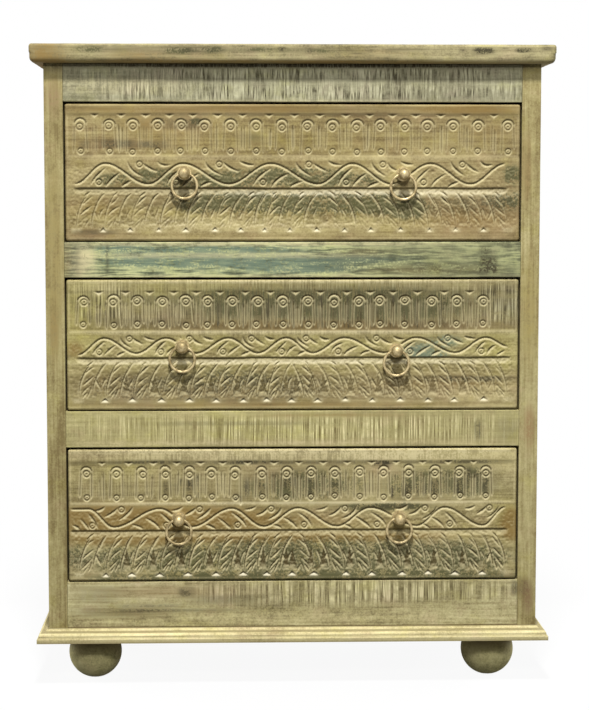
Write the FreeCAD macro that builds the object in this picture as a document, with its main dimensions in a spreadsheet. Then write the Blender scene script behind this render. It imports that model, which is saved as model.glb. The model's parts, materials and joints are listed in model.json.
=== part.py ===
import FreeCAD, Part
import Sketcher
import math
import os

# Carved three-drawer chest of Indian style.
# Millimetres, +Z up, front towards -Y, origin on the floor under the middle of the top.

# Driving sizes
SIZES = {
    # Case
    "overall_height": 1106,
    "case_width": 848,
    "case_depth": 400,
    "side_thickness": 32,
    "rail_thickness": 25,
    "tenon_length": 14,
    "tenon_thickness": 10,
    "tenon_shoulder": 9,
    "mortise_slack": 0.5,
    "bottom_rail_height": 80,
    "lower_opening": 235,
    "lower_rail_height": 63,
    "middle_opening": 230,
    "upper_rail_height": 61,
    "frieze_height": 65,
    "back_thickness": 9,
    "back_rabbet": 12,
    "back_rail_height": 40,
    "back_rail_thickness": 20,
    # Top
    "top_thickness": 32,
    "top_overhang": 23,
    "top_overhang_back": 8,
    "top_corner_radius": 9,
    "top_edge_radius": 5,
    "top_underside_radius": 12,
    # Base, its moulding and the turned feet
    "base_thickness": 24,
    "moulding_projection": 20,
    "lip_height": 7,
    "ledge_run": 3,
    "ledge_rise": 4,
    "bead_radius": 6.5,
    "quirk_width": 1,
    "cove_top": 2.5,
    "foot_height": 78,
    "foot_diameter": 93,
    "foot_sole_diameter": 31,
    "foot_inset": 75,
    "spigot_diameter": 25,
    "spigot_length": 18,
    "spigot_clearance": 0.2,
    # Drawer guides inside the case
    "runner_width": 30,
    "runner_height": 22,
    "kicker_width": 24,
    "kicker_height": 20,
    "stop_length": 16,
    "stop_height": 14,
    "cleat_width": 25,
    # Drawers
    "face_thickness": 22,
    "face_edge_radius": 3,
    "box_front_thickness": 14,
    "box_side_thickness": 14,
    "box_back_thickness": 14,
    "housing_depth": 5,
    "drawer_bottom_thickness": 6,
    "drawer_bottom_rise": 10,
    "groove_depth": 5,
    "side_gap": 3,
    "top_gap": 3.5,
    "bottom_gap": 2,
    "runner_clearance": 0.3,
    "stop_clearance": 0.3,
    "kicker_clearance": 3,
    # Ring pulls
    "ball_diameter": 20,
    "neck_reach": 18,
    "neck_diameter": 12,
    "collar_diameter": 24,
    "collar_thickness": 3,
    "ring_mean_diameter": 43,
    "ring_wire": 5,
    "ring_clearance": 0.3,
    "stud_diameter": 6,
    "stud_clearance": 0.2,
    "stud_overrun": 2,
    "washer_diameter": 16,
    "washer_thickness": 1.5,
    "nut_width": 10,
    "nut_thickness": 5,
    # Hand-set places of the pulls, out from the middle of each face and below it
    "upper_left_pull_out": 186,
    "upper_left_pull_drop": 1,
    "upper_right_pull_out": 188,
    "upper_right_pull_drop": 2.5,
    "middle_left_pull_out": 191,
    "middle_left_pull_drop": 2.5,
    "middle_right_pull_out": 177.5,
    "middle_right_pull_drop": 10,
    "lower_left_pull_out": 198,
    "lower_left_pull_drop": 6.5,
    "lower_right_pull_out": 184,
    "lower_right_pull_drop": 6,
    # Screws and nails
    "screw_diameter": 4,
    "screw_head_diameter": 8,
    "screw_head_depth": 2.5,
    "screw_length": 45,
    "top_screw_length": 42,
    "nail_diameter": 2.4,
    "nail_head_diameter": 5.5,
    "nail_head_thickness": 1,
    "nail_length": 28,
    "fastener_clearance": 0.1,
}

doc = FreeCAD.newDocument("CarvedChest")
sheet = doc.addObject("Spreadsheet::Sheet", "Sizes")
for row, (alias, number) in enumerate(SIZES.items(), start=1):
    sheet.set(f"A{row}", alias)
    sheet.set(f"B{row}", str(number))
    sheet.setAlias(f"B{row}", alias)
doc.recompute()


# Sizes that can be added and multiplied, and still point at the sheet
class Size:
    """A length: its number, and the expression on the sheet that gives it."""

    def __init__(self, text, number):
        self.text = text
        self.number = number

    def __add__(self, other):
        other = as_size(other)
        return Size(f"({self.text} + {other.text})", self.number + other.number)

    def __sub__(self, other):
        other = as_size(other)
        return Size(f"({self.text} - {other.text})", self.number - other.number)

    def __mul__(self, other):
        other = as_size(other)
        return Size(f"({self.text} * {other.text})", self.number * other.number)

    def __truediv__(self, other):
        other = as_size(other)
        return Size(f"({self.text} / {other.text})", self.number / other.number)

    def __radd__(self, other):
        return as_size(other) + self

    def __rsub__(self, other):
        return as_size(other) - self

    def __rmul__(self, other):
        return as_size(other) * self

    def __neg__(self):
        return Size(f"(-{self.text})", -self.number)

    def root(self):
        return Size(f"sqrt({self.text})", math.sqrt(self.number))

    def arcsine(self):
        return Size(f"asin({self.text})", math.degrees(math.asin(self.number)))


def as_size(value):
    """A plain number as a Size."""
    if isinstance(value, Size):
        return value
    return Size(str(value), value)


class Sheet:
    """Every alias of the sheet as an attribute."""


s = Sheet()
for alias, number in SIZES.items():
    setattr(s, alias, Size(f"Sizes.{alias}", number))

# Places worked out from the driving sizes
inner_width = s.case_width - 2 * s.side_thickness
front_y = (s.top_overhang - s.top_overhang_back - s.case_depth) / 2
back_y = front_y + s.case_depth
back_panel_y = back_y - s.back_thickness
behind_rail_y = front_y + s.rail_thickness
base_top = s.foot_height + s.base_thickness
lower_z = base_top + s.bottom_rail_height
lower_rail_z = lower_z + s.lower_opening
middle_z = lower_rail_z + s.lower_rail_height
upper_rail_z = middle_z + s.middle_opening
upper_z = upper_rail_z + s.upper_rail_height
top_z = s.overall_height - s.top_thickness
frieze_z = top_z - s.frieze_height
side_height = top_z - base_top
runner_length = back_panel_y - behind_rail_y
kicker_length = runner_length - s.back_rail_thickness

LEVELS = {
    "lower": (lower_z, s.lower_opening),
    "middle": (middle_z, s.middle_opening),
    "upper": (upper_z, frieze_z - upper_z),
}
RAILS = {
    "bottom_rail": (base_top, s.bottom_rail_height),
    "lower_rail": (lower_rail_z, s.lower_rail_height),
    "upper_rail": (upper_rail_z, s.upper_rail_height),
    "frieze_rail": (frieze_z, s.frieze_height),
}
HANDS = {"left": -1, "right": 1}
nodes = []


def keep(obj):
    """Lists an object as one of the finished pieces."""
    nodes.append(obj)
    return obj


def bind(obj, prop, value):
    """Ties a property to the sheet."""
    obj.setExpression(prop, as_size(value).text)


def place(obj, spot):
    """Ties the place of an object to the sheet."""
    for axis, value in zip("xyz", spot):
        bind(obj, f"Placement.Base.{axis}", value)
    return obj


def box(name, corner, extent):
    """A board from its least corner and its extents."""
    obj = doc.addObject("Part::Box", name)
    for prop, value in zip(("Length", "Width", "Height"), extent):
        bind(obj, prop, value)
    return place(obj, corner)


def turn(obj, axis, degrees):
    """Turns an object that has not been placed yet."""
    obj.Placement = FreeCAD.Placement(FreeCAD.Vector(), FreeCAD.Rotation(axis, degrees))
    return obj


X_AXIS = FreeCAD.Vector(1, 0, 0)
Y_AXIS = FreeCAD.Vector(0, 1, 0)
# Rotations that lay a solid standing along +Z along another direction
LAY = {
    "+x": (Y_AXIS, 90),
    "-x": (Y_AXIS, -90),
    "+y": (X_AXIS, -90),
    "-y": (X_AXIS, 90),
    "+z": (X_AXIS, 0),
}


def rod(name, start, way, radius, length):
    """A cylinder from a start point along one of the directions in LAY."""
    obj = turn(doc.addObject("Part::Cylinder", name), *LAY[way])
    bind(obj, "Radius", radius)
    bind(obj, "Height", length)
    return place(obj, start)


def taper(name, start, way, radius, far_radius, length):
    """A cone from a start point along one of the directions in LAY."""
    obj = turn(doc.addObject("Part::Cone", name), *LAY[way])
    bind(obj, "Radius1", radius)
    bind(obj, "Radius2", far_radius)
    bind(obj, "Height", length)
    return place(obj, start)


def join(name, pieces):
    """One solid from pieces that touch or overlap."""
    obj = doc.addObject("Part::MultiFuse", name)
    obj.Shapes = pieces
    return obj


def group(name, pieces):
    """Several separate solids under one name."""
    obj = doc.addObject("Part::Compound", name)
    obj.Links = pieces
    return obj


def cut(name, base, tools):
    """A piece with one or more tools taken out of it."""
    obj = doc.addObject("Part::Cut", name)
    obj.Base = base
    obj.Tool = tools[0] if len(tools) == 1 else join(f"{name}_tools", tools)
    return obj


def shifted(spot, way, distance):
    """A point moved along one of the directions in LAY."""
    moved = list(spot)
    index = "xyz".index(way[1])
    moved[index] = spot[index] + distance if way[0] == "+" else spot[index] - distance
    return tuple(moved)


def screw(name, start, way, length, grow):
    """A countersunk screw whose head starts at the given point, grown for its hole."""
    head = taper(f"{name}_head", start, way, s.screw_head_diameter / 2 + grow,
                 s.screw_diameter / 2 + grow, s.screw_head_depth)
    shank = rod(f"{name}_shank", start, way, s.screw_diameter / 2 + grow, length + grow)
    return join(name, [head, shank])


def nail(name, start, way, grow):
    """A flat-headed nail whose head sits on the surface at the given point."""
    shank = rod(f"{name}_shank", start, way, s.nail_diameter / 2 + grow, s.nail_length + grow)
    if grow:
        return shank
    head = rod(f"{name}_head", shifted(start, way, -s.nail_head_thickness), way,
               s.nail_head_diameter / 2, s.nail_head_thickness)
    return join(name, [head, shank])


# Sketches and solid features
def origin_plane(body, role):
    return next(f for f in body.Origin.OriginFeatures if f.Role == role)


def new_sketch(body, name, role):
    sketch = body.newObject("Sketcher::SketchObject", name)
    sketch.AttachmentSupport = [(origin_plane(body, role), "")]
    sketch.MapMode = "FlatFace"
    return sketch


def pin(sketch, geometry, position, x, y):
    """Ties one point of a sketch to the sheet."""
    for kind, value in (("DistanceX", x), ("DistanceY", y)):
        if isinstance(value, Size):
            index = sketch.addConstraint(
                Sketcher.Constraint(kind, -1, 1, geometry, position, value.number))
            sketch.renameConstraint(index, f"{kind}{index}")
            sketch.setExpression(f"Constraints.{kind}{index}", value.text)
        else:
            axis = -2 if kind == "DistanceX" else -1
            sketch.addConstraint(Sketcher.Constraint("PointOnObject", geometry, position, axis))


def arc_between(start, end, radius, side):
    """The shorter arc from start to end, its centre to the left (1) or right (-1) of the way."""
    chord = end - start
    middle = (start + end) / 2
    height = math.sqrt(radius ** 2 - (chord.Length / 2) ** 2)
    normal = FreeCAD.Vector(-chord.y, chord.x, 0) / chord.Length
    centre = middle + normal * (height * side)
    first, last = (start, end) if side > 0 else (end, start)
    angles = [math.atan2(p.y - centre.y, p.x - centre.x) for p in (first, last)]
    circle = Part.Circle(centre, FreeCAD.Vector(0, 0, 1), radius)
    return Part.ArcOfCircle(circle, angles[0], angles[1])


def outline(sketch, points, arcs=None):
    """Adds a closed outline; arcs maps the number of a side to its radius and turning sense."""
    arcs = arcs or {}
    spots = [FreeCAD.Vector(as_size(x).number, as_size(y).number, 0) for x, y in points]
    sides = []
    for number, start in enumerate(spots):
        end = spots[(number + 1) % len(spots)]
        if number in arcs:
            radius, side = arcs[number]
            index = sketch.addGeometry(arc_between(start, end, radius.number, side))
            sides.append((index, 1 if side > 0 else 2, 2 if side > 0 else 1))
        else:
            index = sketch.addGeometry(Part.LineSegment(start, end))
            sides.append((index, 1, 2))
    for number, (index, first, last) in enumerate(sides):
        before = sides[number - 1]
        sketch.addConstraint(Sketcher.Constraint("Coincident", before[0], before[2], index, first))
        pin(sketch, index, first, *points[number])
        if number in arcs:
            radius = arcs[number][0]
            mark = sketch.addConstraint(Sketcher.Constraint("Radius", index, radius.number))
            sketch.renameConstraint(mark, f"Radius{mark}")
            sketch.setExpression(f"Constraints.Radius{mark}", radius.text)


def rectangle(sketch, width, height):
    outline(sketch, [(0, 0), (width, 0), (width, height), (0, height)])


def circles(sketch, centres, radius):
    for x, y in centres:
        centre = FreeCAD.Vector(x.number, y.number, 0)
        circle = Part.Circle(centre, FreeCAD.Vector(0, 0, 1), radius.number)
        index = sketch.addGeometry(circle)
        pin(sketch, index, 3, x, y)
        mark = sketch.addConstraint(Sketcher.Constraint("Radius", index, radius.number))
        sketch.renameConstraint(mark, f"Radius{mark}")
        sketch.setExpression(f"Constraints.Radius{mark}", radius.text)


def pad(body, sketch, length, backwards=False):
    feature = body.newObject("PartDesign::Pad", f"{sketch.Name}_pad")
    feature.Profile = sketch
    feature.Reversed = backwards
    bind(feature, "Length", length)
    doc.recompute()
    return feature


def pocket_through(body, sketch):
    feature = body.newObject("PartDesign::Pocket", f"{sketch.Name}_pocket")
    feature.Profile = sketch
    feature.Type = "ThroughAll"
    feature.Midplane = True
    doc.recompute()
    return feature


def round_edges(body, feature, radius, wanted):
    """Rounds the edges whose bounding box passes the test."""
    names = [f"Edge{number}" for number, edge in enumerate(feature.Shape.Edges, start=1)
             if wanted(edge.BoundBox)]
    fillet = body.newObject("PartDesign::Fillet", f"{feature.Name}_round")
    fillet.Base = (feature, names)
    bind(fillet, "Radius", radius)
    doc.recompute()
    return fillet


def flat_at(axis, level):
    """A test for edges that lie in the plane at one level of an axis."""
    def wanted(bounds):
        low = getattr(bounds, f"{axis}Min")
        high = getattr(bounds, f"{axis}Max")
        return abs(low - level.number) < 1e-4 and abs(high - level.number) < 1e-4
    return wanted


# Top: one thick slab, softened above and rounded further below
top_width = s.case_width + 2 * s.top_overhang
top_depth = s.case_depth + s.top_overhang + s.top_overhang_back
top_board = doc.addObject("PartDesign::Body", "top_board")
top_sketch = new_sketch(top_board, "top_outline", "XY_Plane")
rectangle(top_sketch, top_width, top_depth)
top_pad = pad(top_board, top_sketch, s.top_thickness)
top_corners = round_edges(top_board, top_pad, s.top_corner_radius,
                          lambda b: b.ZLength > s.top_thickness.number - 0.01)
top_upper = round_edges(top_board, top_corners, s.top_edge_radius, flat_at("Z", s.top_thickness))
round_edges(top_board, top_upper, s.top_underside_radius, flat_at("Z", as_size(0)))
place(top_board, (-top_width / 2, -top_depth / 2, top_z))

# Guides on the inner faces of the sides, and the screws that hold them
screw_tools = {"left": [], "right": []}
runner_screws = []
kickers = []
stops = []
for level, (floor_z, opening) in LEVELS.items():
    runners = []
    for hand, sign in HANDS.items():
        way = "-x" if sign < 0 else "+x"
        wall_x = sign * inner_width / 2
        runner_x = wall_x if sign < 0 else wall_x - s.runner_width
        kicker_x = wall_x if sign < 0 else wall_x - s.kicker_width
        runner = box(f"{level}_runner_{hand}_board",
                     (runner_x, behind_rail_y, floor_z - s.runner_height),
                     (s.runner_width, runner_length, s.runner_height))
        kicker = box(f"{level}_kicker_{hand}_board",
                     (kicker_x, behind_rail_y, floor_z + opening),
                     (s.kicker_width, kicker_length, s.kicker_height))
        strips = {
            "runner": (runner, s.runner_width, floor_z - s.runner_height / 2, runner_length, runners),
            "kicker": (kicker, s.kicker_width, floor_z + opening + s.kicker_height / 2,
                       kicker_length, kickers),
        }
        for strip, (board, width, middle_height, length, finished) in strips.items():
            tools = []
            for number, share in enumerate((0.15, 0.85), start=1):
                name = f"{level}_{strip}_{hand}_screw_{number}"
                head = (wall_x - sign * width, behind_rail_y + share * length, middle_height)
                runner_screws.append(screw(name, head, way, s.screw_length, 0))
                tool = screw(f"{name}_hole", head, way, s.screw_length, s.fastener_clearance)
                tools.append(tool)
                screw_tools[hand].append(tool)
            finished.append(cut(f"{level}_{strip}_{hand}", board, tools))
        stops.append(box(f"{level}_stop_{hand}",
                         (runner_x, back_panel_y - s.stop_length, floor_z),
                         (s.runner_width, s.stop_length, s.stop_height)))
    keep(group(f"{level}_runners", runners))
keep(group("kicker_strips", kickers))
keep(group("drawer_stops", stops))
keep(group("runner_screws", runner_screws))

# Cleats under the top, with screws up into it
cleats = []
top_screws = []
top_tools = []
cleat_y = behind_rail_y
for hand, sign in HANDS.items():
    cleat_x = -inner_width / 2 if sign < 0 else inner_width / 2 - s.cleat_width
    board = box(f"cleat_{hand}_board", (cleat_x, cleat_y, top_z - s.cleat_width),
                (s.cleat_width, kicker_length, s.cleat_width))
    tools = []
    for number, share in enumerate((0.12, 0.5, 0.88), start=1):
        head = (cleat_x + s.cleat_width / 2, cleat_y + share * kicker_length,
                top_z - s.cleat_width)
        name = f"top_screw_{hand}_{number}"
        top_screws.append(screw(name, head, "+z", s.top_screw_length, 0))
        tools.append(screw(f"{name}_hole", head, "+z", s.top_screw_length, s.fastener_clearance))
    top_tools += tools
    cleats.append(cut(f"cleat_{hand}", board, tools))
keep(group("top_cleats", cleats))
keep(group("top_screws", top_screws))
keep(cut("top_slab", top_board, top_tools))

# Back panel in the rabbets of the sides, nailed on
nails = []
nail_tools = {"left": [], "right": []}
for hand, sign in HANDS.items():
    for number in range(6):
        share = (number + 0.5) / 6
        head = (sign * (inner_width + s.back_rabbet) / 2, back_y, base_top + share * side_height)
        nails.append(nail(f"back_nail_{hand}_{number + 1}", head, "-y", 0))
        nail_tools[hand].append(
            nail(f"back_nail_hole_{hand}_{number + 1}", head, "-y", s.fastener_clearance))
back_board = box("back_board", (-inner_width / 2 - s.back_rabbet, back_panel_y, base_top),
                 (inner_width + 2 * s.back_rabbet, s.back_thickness, side_height))
keep(cut("back_panel", back_board, nail_tools["left"] + nail_tools["right"]))
keep(group("back_nails", nails))

# Sides: the front edges of these boards are the stiles seen from the front
back_rail_y = back_panel_y - s.back_rail_thickness
back_rail_z = top_z - s.back_rail_height
tenon_inset = (s.rail_thickness - s.tenon_thickness) / 2
back_tenon_inset = (s.back_rail_thickness - s.tenon_thickness) / 2
tenon_spots = {name: (front_y + tenon_inset, z, height) for name, (z, height) in RAILS.items()}
tenon_spots["back_rail"] = (back_rail_y + back_tenon_inset, back_rail_z, s.back_rail_height)
mortise_depth = s.tenon_length + s.mortise_slack
for hand, sign in HANDS.items():
    outer_x = -s.case_width / 2 if sign < 0 else s.case_width / 2 - s.side_thickness
    inner_x = sign * inner_width / 2
    mortise_x = inner_x - mortise_depth if sign < 0 else inner_x
    rabbet_x = inner_x - s.back_rabbet if sign < 0 else inner_x
    board = box(f"{hand}_side_board", (outer_x, front_y, base_top),
                (s.side_thickness, s.case_depth, side_height))
    tools = [box(f"{hand}_rabbet", (rabbet_x, back_panel_y, base_top),
                 (s.back_rabbet, s.back_thickness, side_height))]
    for name, (tenon_y, z, height) in tenon_spots.items():
        tools.append(box(f"{hand}_mortise_{name}", (mortise_x, tenon_y, z + s.tenon_shoulder),
                         (mortise_depth, s.tenon_thickness, height - 2 * s.tenon_shoulder)))
    keep(cut(f"{hand}_side", board, tools + screw_tools[hand] + nail_tools[hand]))

# Rails with a stub tenon at each end
rail_boards = {name: (front_y, z, s.rail_thickness, height) for name, (z, height) in RAILS.items()}
rail_boards["back_rail"] = (back_rail_y, back_rail_z, s.back_rail_thickness, s.back_rail_height)
for name, (y, z, thickness, height) in rail_boards.items():
    board = box(f"{name}_board", (-inner_width / 2, y, z), (inner_width, thickness, height))
    tenon_y = tenon_spots[name][0]
    tenon = box(f"{name}_tenons", (-inner_width / 2 - s.tenon_length, tenon_y, z + s.tenon_shoulder),
                (inner_width + 2 * s.tenon_length, s.tenon_thickness, height - 2 * s.tenon_shoulder))
    keep(join(name, [board, tenon]))

# Base board, bored for the spigots of the feet
foot_x = s.case_width / 2 - s.foot_inset
FEET = {
    "foot_front_left": (-foot_x, front_y + s.foot_inset),
    "foot_front_right": (foot_x, front_y + s.foot_inset),
    "foot_back_left": (-foot_x, back_y - s.foot_inset),
    "foot_back_right": (foot_x, back_y - s.foot_inset),
}
base_plank = box("base_plank", (-s.case_width / 2, front_y, s.foot_height),
                 (s.case_width, s.case_depth, s.base_thickness))
bores = [rod(f"{name}_bore", (x, y, s.foot_height), "+z",
             s.spigot_diameter / 2 + s.spigot_clearance, s.spigot_length + s.spigot_clearance)
         for name, (x, y) in FEET.items()]
keep(cut("base_board", base_plank, bores))

# Turned bun feet: a ball cut flat above and below, standing on a small sole
foot_radius = s.foot_diameter / 2
sole_radius = s.foot_sole_diameter / 2
belly = (foot_radius * foot_radius - sole_radius * sole_radius).root()
for name, (x, y) in FEET.items():
    ball = doc.addObject("Part::Sphere", f"{name}_ball")
    bind(ball, "Radius", foot_radius)
    bind(ball, "Angle1", -(belly / foot_radius).arcsine())
    bind(ball, "Angle2", ((s.foot_height - belly) / foot_radius).arcsine())
    place(ball, (x, y, belly))
    spigot = rod(f"{name}_spigot", (x, y, s.foot_height), "+z", s.spigot_diameter / 2,
                 s.spigot_length)
    keep(join(name, [ball, spigot]))

# Base moulding: lip, ledge, bead, quirk and cove, mitred at the front corners
reach = s.moulding_projection
bead_foot = (reach - s.ledge_run, s.lip_height + s.ledge_rise)
bead_head = (bead_foot[0] - s.bead_radius, bead_foot[1] + s.bead_radius)
cove_foot = (bead_head[0] - s.quirk_width, bead_head[1])
cove_run = cove_foot[0] - s.cove_top
cove_rise = s.base_thickness - cove_foot[1]
cove_radius = ((cove_run * cove_run + cove_rise * cove_rise) / 2).root()
MOULDING = [
    (0, 0),
    (reach, 0),
    (reach, s.lip_height),
    bead_foot,
    bead_head,
    cove_foot,
    (s.cove_top, s.base_thickness),
    (0, s.base_thickness),
]
mirrored = [(reach - out, z) for out, z in MOULDING]
front_length = s.case_width + 2 * reach
side_length = s.case_depth + reach
MOULDINGS = {
    "moulding_front": ("YZ_Plane", mirrored, -1, front_length, False, [
        [(0, 0), (reach, reach), (0, reach)],
        [(front_length, 0), (front_length, reach), (front_length - reach, reach)],
    ], (-s.case_width / 2 - reach, front_y - reach, s.foot_height)),
    "moulding_left": ("XZ_Plane", mirrored, -1, side_length, True, [
        [(0, 0), (reach, 0), (reach, reach)],
    ], (-s.case_width / 2 - reach, front_y - reach, s.foot_height)),
    "moulding_right": ("XZ_Plane", MOULDING, 1, side_length, True, [
        [(0, 0), (reach, 0), (0, reach)],
    ], (s.case_width / 2, front_y - reach, s.foot_height)),
}
for name, (role, profile, sense, length, backwards, mitres, spot) in MOULDINGS.items():
    body = keep(doc.addObject("PartDesign::Body", name))
    section = new_sketch(body, f"{name}_section", role)
    outline(section, profile, {3: (s.bead_radius, sense), 5: (cove_radius, -sense)})
    pad(body, section, length, backwards)
    mitre = new_sketch(body, f"{name}_mitre", "XY_Plane")
    for triangle in mitres:
        outline(mitre, triangle)
    pocket_through(body, mitre)
    place(body, spot)

# Drawers
face_width = inner_width - 2 * s.side_gap
box_y = front_y + s.face_thickness
box_length = s.case_depth - s.face_thickness - s.back_thickness - s.stop_length - s.stop_clearance
box_inside = face_width - 2 * s.box_side_thickness
cross_width = box_inside + 2 * s.housing_depth
box_back_y = box_y + box_length - s.box_back_thickness
stud_hole = s.stud_diameter / 2 + s.stud_clearance
ball_radius = s.ball_diameter / 2
neck_radius = s.neck_diameter / 2
ball_joint = (ball_radius * ball_radius - neck_radius * neck_radius).root()
projection = ball_radius + s.neck_reach + s.collar_thickness
stud_length = (s.face_thickness + s.box_front_thickness + s.washer_thickness + s.nut_thickness
               + s.stud_overrun)
ring_radius = s.ring_mean_diameter / 2
ring_sagitta = ring_radius - (ring_radius * ring_radius - neck_radius * neck_radius).root()
eye_radius = s.ring_wire / 2 + ring_sagitta + s.ring_clearance
eye_y = front_y - s.collar_thickness - (s.neck_reach - ball_joint) / 2

for level, (floor_z, opening) in LEVELS.items():
    face_height = opening - s.top_gap - s.bottom_gap
    face_z = floor_z + s.bottom_gap
    box_z = floor_z + s.runner_clearance
    box_height = opening - s.runner_clearance - s.kicker_clearance
    groove_z = box_z + s.drawer_bottom_rise
    pulls = {}
    for hand, sign in HANDS.items():
        out = getattr(s, f"{level}_{hand}_pull_out")
        drop = getattr(s, f"{level}_{hand}_pull_drop")
        pulls[hand] = (sign * out, face_z + face_height / 2 - drop)

    # Face board, softened all round its front
    face = keep(doc.addObject("PartDesign::Body", f"{level}_face"))
    face_sketch = new_sketch(face, f"{level}_face_outline", "XZ_Plane")
    rectangle(face_sketch, face_width, face_height)
    face_pad = pad(face, face_sketch, s.face_thickness, True)
    face_round = round_edges(face, face_pad, s.face_edge_radius, flat_at("Y", as_size(0)))
    face_holes = new_sketch(face, f"{level}_face_holes", "XZ_Plane")
    circles(face_holes, [(face_width / 2 + x, z - face_z) for x, z in pulls.values()], stud_hole)
    pocket_through(face, face_holes)
    place(face, (-face_width / 2, front_y, face_z))

    # Box: front and back housed in the sides, bottom in a groove all round
    grooves = {
        "front": box(f"{level}_groove_front",
                     (-cross_width / 2, box_y + s.box_front_thickness - s.groove_depth, groove_z),
                     (cross_width, s.groove_depth, s.drawer_bottom_thickness)),
        "back": box(f"{level}_groove_back", (-cross_width / 2, box_back_y, groove_z),
                    (cross_width, s.groove_depth, s.drawer_bottom_thickness)),
    }
    front_board = box(f"{level}_front_board", (-cross_width / 2, box_y, box_z),
                      (cross_width, s.box_front_thickness, box_height))
    stud_holes = [rod(f"{level}_stud_hole_{hand}", (x, box_y, z), "+y", stud_hole,
                      s.box_front_thickness) for hand, (x, z) in pulls.items()]
    keep(cut(f"{level}_box_front", front_board, [grooves["front"]] + stud_holes))
    back_board = box(f"{level}_back_board", (-cross_width / 2, box_back_y, box_z),
                     (cross_width, s.box_back_thickness, box_height))
    keep(cut(f"{level}_box_back", back_board, [grooves["back"]]))
    for hand, sign in HANDS.items():
        outer_x = -face_width / 2 if sign < 0 else face_width / 2 - s.box_side_thickness
        inner_x = sign * box_inside / 2
        housing_x = inner_x - s.housing_depth if sign < 0 else inner_x
        groove_x = inner_x - s.groove_depth if sign < 0 else inner_x
        board = box(f"{level}_{hand}_board", (outer_x, box_y, box_z),
                    (s.box_side_thickness, box_length, box_height))
        keep(cut(f"{level}_box_{hand}", board, [
            box(f"{level}_{hand}_front_housing", (housing_x, box_y, box_z),
                (s.housing_depth, s.box_front_thickness, box_height)),
            box(f"{level}_{hand}_back_housing", (housing_x, box_back_y, box_z),
                (s.housing_depth, s.box_back_thickness, box_height)),
            box(f"{level}_{hand}_groove", (groove_x, box_y + s.box_front_thickness, groove_z),
                (s.groove_depth, box_length - s.box_front_thickness - s.box_back_thickness,
                 s.drawer_bottom_thickness)),
        ]))
    panel_y = box_y + s.box_front_thickness - s.groove_depth
    panel = box(f"{level}_bottom_board", (-box_inside / 2 - s.groove_depth, panel_y, groove_z),
                (box_inside + 2 * s.groove_depth, box_back_y + s.groove_depth - panel_y,
                 s.drawer_bottom_thickness))
    corner_x = box_inside / 2
    corner_size = (s.groove_depth, s.groove_depth, s.drawer_bottom_thickness)
    corners = [box(f"{level}_bottom_corner_{number}", (x, y, groove_z), corner_size)
               for number, (x, y) in enumerate([
                   (-corner_x - s.groove_depth, panel_y),
                   (corner_x, panel_y),
                   (-corner_x - s.groove_depth, box_back_y),
                   (corner_x, box_back_y)], start=1)]
    keep(cut(f"{level}_box_bottom", panel, corners))

    # Ring pulls: ball, bored neck, collar and a stud clamped by washer and nut
    fixings = []
    for hand, (pull_x, pull_z) in pulls.items():
        stem = doc.addObject("PartDesign::Body", f"{level}_stem_{hand}")
        profile = new_sketch(stem, f"{level}_stem_{hand}_profile", "XY_Plane")
        outline(profile, [
            (0, 0),
            (neck_radius, ball_radius + ball_joint),
            (neck_radius, ball_radius + s.neck_reach),
            (s.collar_diameter / 2, ball_radius + s.neck_reach),
            (s.collar_diameter / 2, projection),
            (s.stud_diameter / 2, projection),
            (s.stud_diameter / 2, projection + stud_length),
            (0, projection + stud_length),
        ])
        turned = stem.newObject("PartDesign::Revolution", f"{level}_stem_{hand}_turned")
        turned.Profile = profile
        turned.ReferenceAxis = (profile, ["V_Axis"])
        turned.Angle = 360
        place(stem, (pull_x, front_y - projection, pull_z))
        ball = doc.addObject("Part::Sphere", f"{level}_ball_{hand}")
        bind(ball, "Radius", ball_radius)
        place(ball, (pull_x, front_y - projection + ball_radius, pull_z))
        solid = join(f"{level}_knob_{hand}", [stem, ball])
        eye = rod(f"{level}_eye_{hand}", (pull_x - neck_radius, eye_y, pull_z), "+x",
                  eye_radius, s.neck_diameter)
        keep(cut(f"{level}_pull_{hand}", solid, [eye]))

        ring = turn(doc.addObject("Part::Torus", f"{level}_ring_{hand}"), X_AXIS, 90)
        bind(ring, "Radius1", ring_radius)
        bind(ring, "Radius2", s.ring_wire / 2)
        keep(place(ring, (pull_x, eye_y, pull_z - ring_radius)))

        washer_y = box_y + s.box_front_thickness
        nut_y = washer_y + s.washer_thickness
        washer = rod(f"{level}_washer_{hand}_disc", (pull_x, washer_y, pull_z), "+y",
                     s.washer_diameter / 2, s.washer_thickness)
        nut = turn(doc.addObject("Part::Prism", f"{level}_nut_{hand}_hexagon"), *LAY["+y"])
        nut.Polygon = 6
        bind(nut, "Circumradius", s.nut_width / as_size(3).root())
        bind(nut, "Height", s.nut_thickness)
        place(nut, (pull_x, nut_y, pull_z))
        for name, solid in (("washer", washer), ("nut", nut)):
            hole = rod(f"{level}_{name}_{hand}_hole", (pull_x, washer_y, pull_z), "+y",
                       s.stud_diameter / 2 + s.fastener_clearance,
                       s.washer_thickness + s.nut_thickness)
            fixings.append(cut(f"{level}_{name}_{hand}", solid, [hole]))
    keep(group(f"{level}_pull_nuts", fixings))

doc.recompute()

# Check every object, then write one file for each finished piece
for obj in doc.Objects:
    if "Invalid" in obj.State or "Error" in obj.State:
        raise RuntimeError(f"{obj.Name}: {obj.State}")
os.makedirs("parts", exist_ok=True)
for obj in nodes:
    if obj.Shape.isNull() or not obj.Shape.isValid():
        raise RuntimeError(f"{obj.Name} has no valid shape")
    obj.Shape.exportStep(f"parts/{obj.Name}.step")
print(len(nodes), "pieces written")
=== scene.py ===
# %% [markdown]
# # A carved chest of drawers, dressed in Blender
# The joiner's model already gives every board its place and its size, in metres, with the front of the
# chest towards -Y. This script loads that model as a fixed frame and gives it what a drawing leaves out:
# carving, worn edges, a rubbed wash and dull brass. Each step first says what the real piece is like.

# %% Load the joiner's model
import json
import math
from types import SimpleNamespace

import bpy
import numpy as np
from mathutils import Matrix, Vector


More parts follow.
